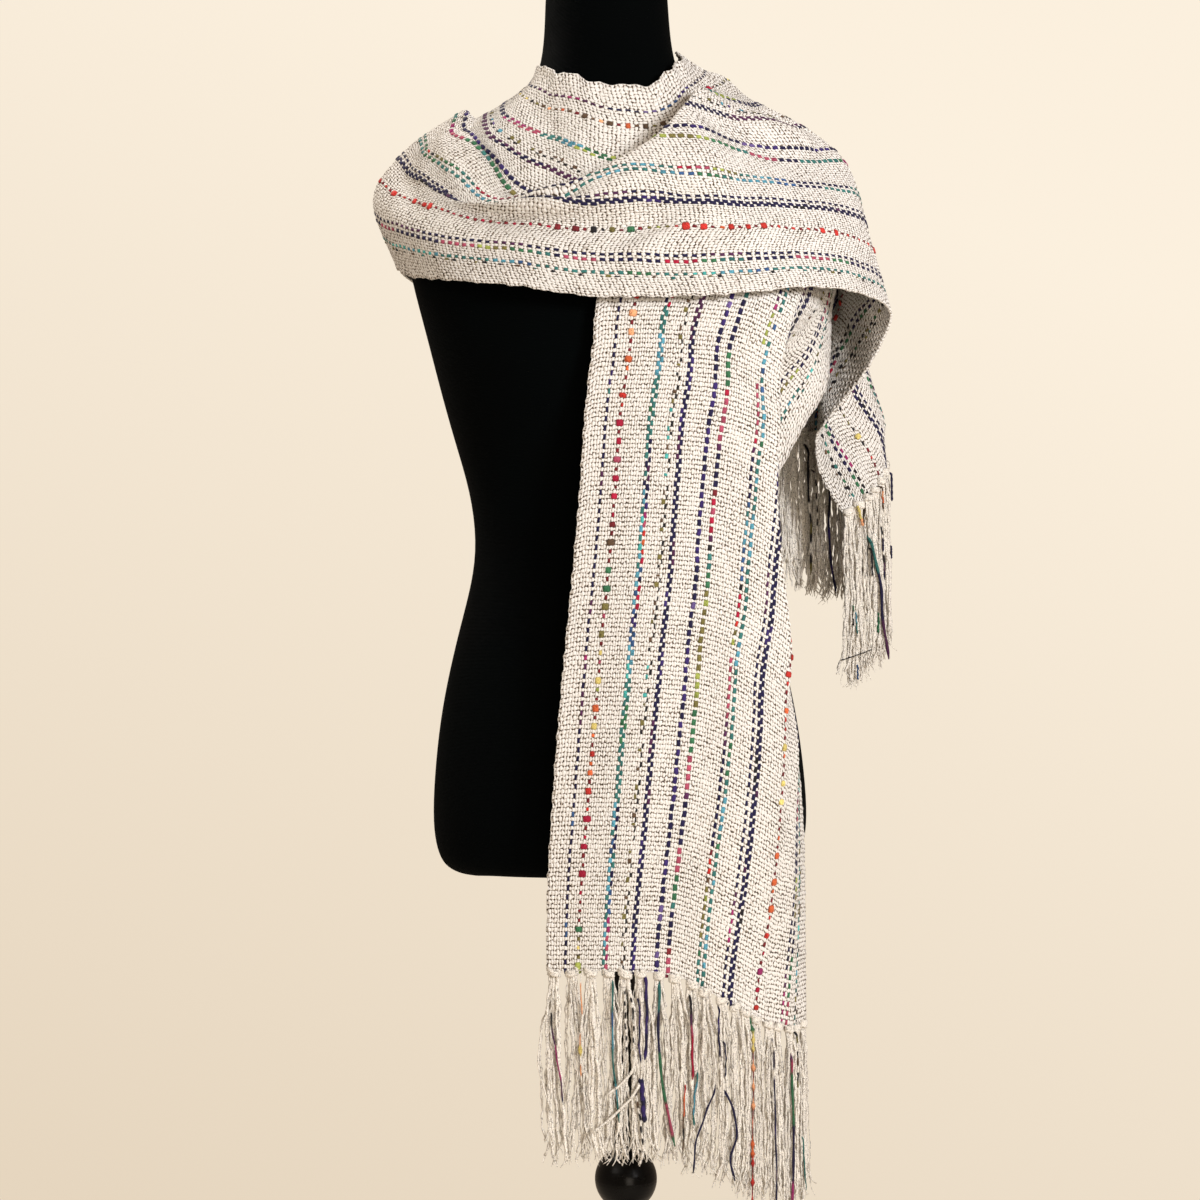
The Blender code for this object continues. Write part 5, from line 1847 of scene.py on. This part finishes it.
@dataclass
class Cloth:
    """The scarf's woven walls and the coloured yarns on them."""

    drape: Drape = field(default_factory=Drape)
    cotton: WovenCotton = WovenCotton()
    yarn: SpunYarn = SpunYarn("warp_yarn_finish", fibre_gap_shade=0.5)

    def build(self) -> dict:
        """Build each stretch's wall and yarns.

        Returns:
            The walls and the yarns by the names of the stretches.
        """
        cotton, yarn = self.cotton.make(), self.yarn.make()
        made = {}
        for seed, stretch in enumerate(self.drape.stretches):
            wall = dress(Wall(stretch).build(), cotton)
            floats = dress(Floats(stretch, YARNS, seed).build(), yarn)
            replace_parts(wall, stretch.name)
            made[stretch.name] = (wall, floats)
        return made

    @staticmethod
    def declare(made: dict, fringes: dict, torso: Object) -> None:
        """Work out what each stretch rests on and its yarns and fringe; nothing is declared with them.

        Args:
            made: the walls and the yarns by the names of the stretches.
            fringes: the fringe tied to a stretch, by the same names.
            torso: the form that carries the cloth.
        """
        form = torso.name
        panel, wrap, band, _ = (made[course.name][0].name for course in COURSES)
        supports = ([form], [form, panel], [form, panel, wrap], [form, wrap, band])
        for course, rests_on in zip(COURSES, supports):
            wall, floats = made[course.name]
            trim = [floats, fringes[course.name]] if course.name in fringes else [floats]


@dataclass
class DressForm:
    """The limbless form: the model's torso, made smooth."""

    jersey: BlackCoat = BlackCoat("black_jersey_finish", (0.78, 0.9), (0.0006, 0.0012, 0.0013),
                                  (9.0, 3.0), (0.3, 0.7, 0.8, 1.3), (0.3, 0.7), bands_scale=260.0,
                                  bands_waver=1.2, depth=0.0003, specular=0.03, sheen=0.006)
    smoothness: int = 2
    weld: float = 0.00002  # how close points are joined, in metres
    flat: float = 60.0  # degrees within which two triangles make a face of four sides

    def build(self, nodes: dict) -> Object:
        """Smooth a copy of the torso.

        Args:
            nodes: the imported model's nodes by name.

        Returns:
            The torso.
        """
        bpy.ops.object.select_all(action="DESELECT")
        source = nodes["form_torso"]
        source.select_set(True)
        bpy.context.view_layer.objects.active = source
        bpy.ops.object.duplicate()
        torso = bpy.context.active_object
        torso.name = torso.data.name = "form_cover"
        bpy.ops.object.mode_set(mode="EDIT")
        bpy.ops.mesh.select_all(action="SELECT")
        bpy.ops.mesh.remove_doubles(threshold=self.weld)
        bpy.ops.mesh.tris_convert_to_quads(face_threshold=math.radians(self.flat),
                                           shape_threshold=math.radians(self.flat))
        bpy.ops.object.mode_set(mode="OBJECT")
        smooth = torso.modifiers.new("Smooth", "SUBSURF")
        smooth.levels = smooth.render_levels = self.smoothness
        bpy.ops.object.modifier_apply(modifier=smooth.name)
        bpy.ops.object.shade_smooth()
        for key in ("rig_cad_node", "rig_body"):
            if key in torso:
                del torso[key]
        torso.parent = None
        dress(torso, self.jersey.make())
        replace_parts(torso, "form_torso")
        return torso


@dataclass
class Stand:
    """The form's stand, turned about the form's axis. Sizes are in centimetres."""

    ball_radius: float = 2.86
    ball_height: float = 43.4
    ball_flat: float = 1.3  # the radius of its flat top and bottom
    ball_rings: int = 33
    pole_radius: float = 1.15
    column_rings: tuple = ((3.4, 2.4), (3.4, 3.4), (2.5, 4.6), (2.1, 8.0), (2.0, 32.0), (2.2, 36.5),
                           (2.7, 37.6), (2.2, 38.6), (1.4, 39.6))  # radius and height of each
    foot_radius: float = 17.0
    foot_inner: float = 3.6  # the radius of its top, under the column
    gap: float = 0.03
    sides: int = 96
    bevel_segments: int = 4
    sharp: float = 12.0  # degrees from which on an edge is rounded
    lacquer: BlackCoat = BlackCoat("black_lacquer_finish", (0.24, 0.36))
    paint: BlackCoat = BlackCoat("black_paint_finish", (0.36, 0.48))
    metal: BlackCoat = BlackCoat("black_metal_finish", (0.42, 0.54))

    def build(self) -> list:
        """Turn the pole, the ball, the column and the foot.

        Returns:
            The pieces.
        """
        bend = math.acos(self.ball_flat / self.ball_radius)
        ball = [(self.ball_radius * math.cos(angle), self.ball_height + self.ball_radius * math.sin(angle))
                for angle in np.linspace(-bend, bend, self.ball_rings)]
        bottom, top = ball[0][1], ball[-1][1]
        pole = [(self.pole_radius, top + self.gap), (self.pole_radius, TORSO_BOTTOM - self.gap)]
        column = [*self.column_rings, (self.column_rings[-1][0], bottom - self.gap)]
        rim = self.foot_radius
        foot = [(rim - 0.3, 0), (rim, 0.4), (rim, 1.4), (rim - 0.8, 2.0),
                (self.foot_inner, self.column_rings[0][1] - self.gap)]
        lacquer, paint, metal = self.lacquer.make(), self.paint.make(), self.metal.make()
        return [self.turn("stand_pole", pole, 0.05, metal, "stand_metal"),
                self.turn("stand_ball", ball, 0.0, lacquer, "stand_wood"),
                self.turn("stand_column", column, 0.25, paint, "stand_wood"),
                self.turn("stand_foot", foot, 0.12, paint, "stand_wood")]

    def turn(self, node: str, profile: list, softened: float, finish: Material,
             slot: str) -> Object:
        """Turn one piece, ring by ring from its bottom.

        Args:
            node: the model's node that the piece stands for.
            profile: the radius and the height of each ring.
            softened: how wide its edges are rounded, or 0 for a piece with none.
            finish: its material.
            slot: the slot of its finish; not used.

        Returns:
            The piece.
        """
        bpy.ops.object.select_all(action="DESELECT")
        bpy.ops.mesh.primitive_circle_add(vertices=self.sides, radius=profile[0][0] * CM,
                                          fill_type="NGON")
        piece = bpy.context.active_object
        piece.name = piece.data.name = node + "_turned"
        bpy.ops.object.mode_set(mode="EDIT")
        bpy.ops.mesh.select_all(action="SELECT")
        bpy.ops.transform.translate(value=(0, 0, profile[0][1] * CM))
        for (before, low), (radius, high) in zip(profile, profile[1:]):
            bpy.ops.mesh.extrude_region_move(TRANSFORM_OT_translate={"value": (0, 0, (high - low) * CM)})
            bpy.ops.transform.resize(value=(radius / before, radius / before, 1))
        bpy.ops.mesh.select_all(action="SELECT")
        bpy.ops.mesh.normals_make_consistent(inside=False)
        bpy.ops.object.mode_set(mode="OBJECT")
        if softened:
            bevel = piece.modifiers.new("Soft edges", "BEVEL")
            bevel.width = softened * CM
            bevel.segments = self.bevel_segments
            bevel.angle_limit = math.radians(self.sharp)
            bpy.ops.object.modifier_apply(modifier=bevel.name)
        bpy.ops.object.shade_smooth_by_angle(angle=math.radians(30))
        dress(piece, finish)
        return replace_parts(piece, node)


class Lamp(NamedTuple):
    """A soft square lamp that faces a point, in metres and watts."""

    name: str
    place: tuple
    target: tuple
    size: float
    power: float
    colour: tuple


LAMPS = (
    Lamp("key", (1.6, -2.1, 1.75), (0.05, 0.0, 1.3), 0.6, 57.0, (0.99, 0.985, 1.0)),
    Lamp("left", (-1.8, -1.6, 2.4), (0.0, 0.0, 1.3), 1.0, 11.0, (1.0, 0.94, 0.87)),
    Lamp("low", (0.7, -3.0, 0.6), (0.1, 0.0, 1.1), 1.2, 18.0, (1.0, 0.88, 0.74)),
    Lamp("top", (-0.9, 0.6, 2.7), (0.0, 0.0, 1.3), 0.8, 22.0, (1.0, 0.95, 0.88)),
)


@dataclass(frozen=True)
class Studio:
    """The floor, the wall's colour and its painted shade, the light and the camera, in metres and degrees.
    """

    floor_radius: float = 1.4
    floor_drop: float = 0.001  # below the foot
    paint: FloorPaint = FloorPaint()
    # The wall's two colours are painted shade: darker low down and to one side, lighter up high, as light
    # falls on it.
    shaded_low_wall: tuple = (0.79, 0.67, 0.52)
    lit_high_wall: tuple = (0.97, 0.87, 0.73)
    wall_lean: float = 0.45  # how much the wall's painted shade leans to one side
    wall_change: tuple = (-0.36, 0.24)  # the heights between which it changes
    glow: tuple = (1.0, 0.77, 0.56)
    ambient: float = 0.32
    view_angle: float = 30.9
    camera_place: tuple = (-0.0151, -2.0, 0.967)
    camera_turn: float = -0.945  # about its own axis

    def build(self) -> None:
        """Lay the floor, light the form from the front and the right, and set the camera."""
        bpy.ops.object.select_all(action="DESELECT")
        bpy.ops.mesh.primitive_circle_add(vertices=96, radius=self.floor_radius, fill_type="NGON",
                                          location=(0, 0, -self.floor_drop))
        floor = bpy.context.active_object
        floor.name = "floor"
        floor.data.materials.append(self.paint.make())
        bpy.context.scene.view_settings.view_transform = "Standard"
        self.light_world()
        for lamp in LAMPS:
            self.hang(lamp)
        self.add_camera()

    def light_world(self) -> None:
        """Show the cream wall behind the form with its painted shade, and let less of it light the form.
        """
        world = bpy.data.worlds.new("wall")
        bpy.context.scene.world = world
        nodes = Nodes(world)
        way = nodes.add("ShaderNodeTexCoord").outputs["Generated"]
        axes = nodes.add("ShaderNodeSeparateXYZ", {0: way}).outputs
        height = nodes.calculate("MULTIPLY_ADD", axes[0], self.wall_lean, axes[2])
        share = nodes.ramp(height, *self.wall_change, way="LINEAR")
        backdrop = nodes.tree.nodes["Background"]
        nodes.feed(backdrop.inputs["Color"], nodes.blend(share, self.shaded_low_wall, self.lit_high_wall))
        glow = nodes.add("ShaderNodeBackground", {"Color": self.glow, "Strength": self.ambient})
        seen = nodes.add("ShaderNodeLightPath").outputs["Is Camera Ray"]
        mix = nodes.add("ShaderNodeMixShader", {0: seen, 1: glow.outputs[0], 2: backdrop.outputs[0]})
        nodes.feed(nodes.tree.nodes["World Output"].inputs[0], mix.outputs[0])

    @staticmethod
    def hang(lamp: Lamp) -> None:
        """Hang a lamp, facing its target.

        Args:
            lamp: the lamp.
        """
        light = bpy.data.lights.new(lamp.name, "AREA")
        light.size, light.energy, light.color = lamp.size, lamp.power, lamp.colour
        thing = bpy.data.objects.new(lamp.name, light)
        bpy.context.collection.objects.link(thing)
        thing.location = lamp.place
        way = Vector(lamp.target) - Vector(lamp.place)
        thing.rotation_euler = way.to_track_quat("-Z", "Y").to_euler()

    def add_camera(self) -> None:
        """Set the camera level in front of the form, turned a little about its own axis."""
        lens = bpy.data.cameras.new("camera")
        lens.angle = math.radians(self.view_angle)
        camera = bpy.data.objects.new("camera", lens)
        bpy.context.collection.objects.link(camera)
        camera.matrix_world = (Matrix.Translation(self.camera_place)
                               @ Matrix.Rotation(math.radians(90), 4, "X")
                               @ Matrix.Rotation(math.radians(self.camera_turn), 4, "Z"))
        bpy.context.scene.camera = camera


def main() -> None:
    """Build the studio, the form, the stand, the cloth and the fringes."""
    logging.basicConfig(level=logging.INFO, format="%(message)s")
    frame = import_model()
    Studio().build()
    torso = DressForm().build(frame["nodes"])
    stand = Stand().build()
    cloth = Cloth()
    made = cloth.build()
    fringes = Fringes(cloth.drape).build()
    cloth.declare(made, fringes, torso)
    for piece in (torso, *stand, *sum(made.values(), ()), *fringes.values()):
        LOG.info("%s: %d faces", piece.name, len(piece.data.polygons))


if __name__ == "__main__":
    main()
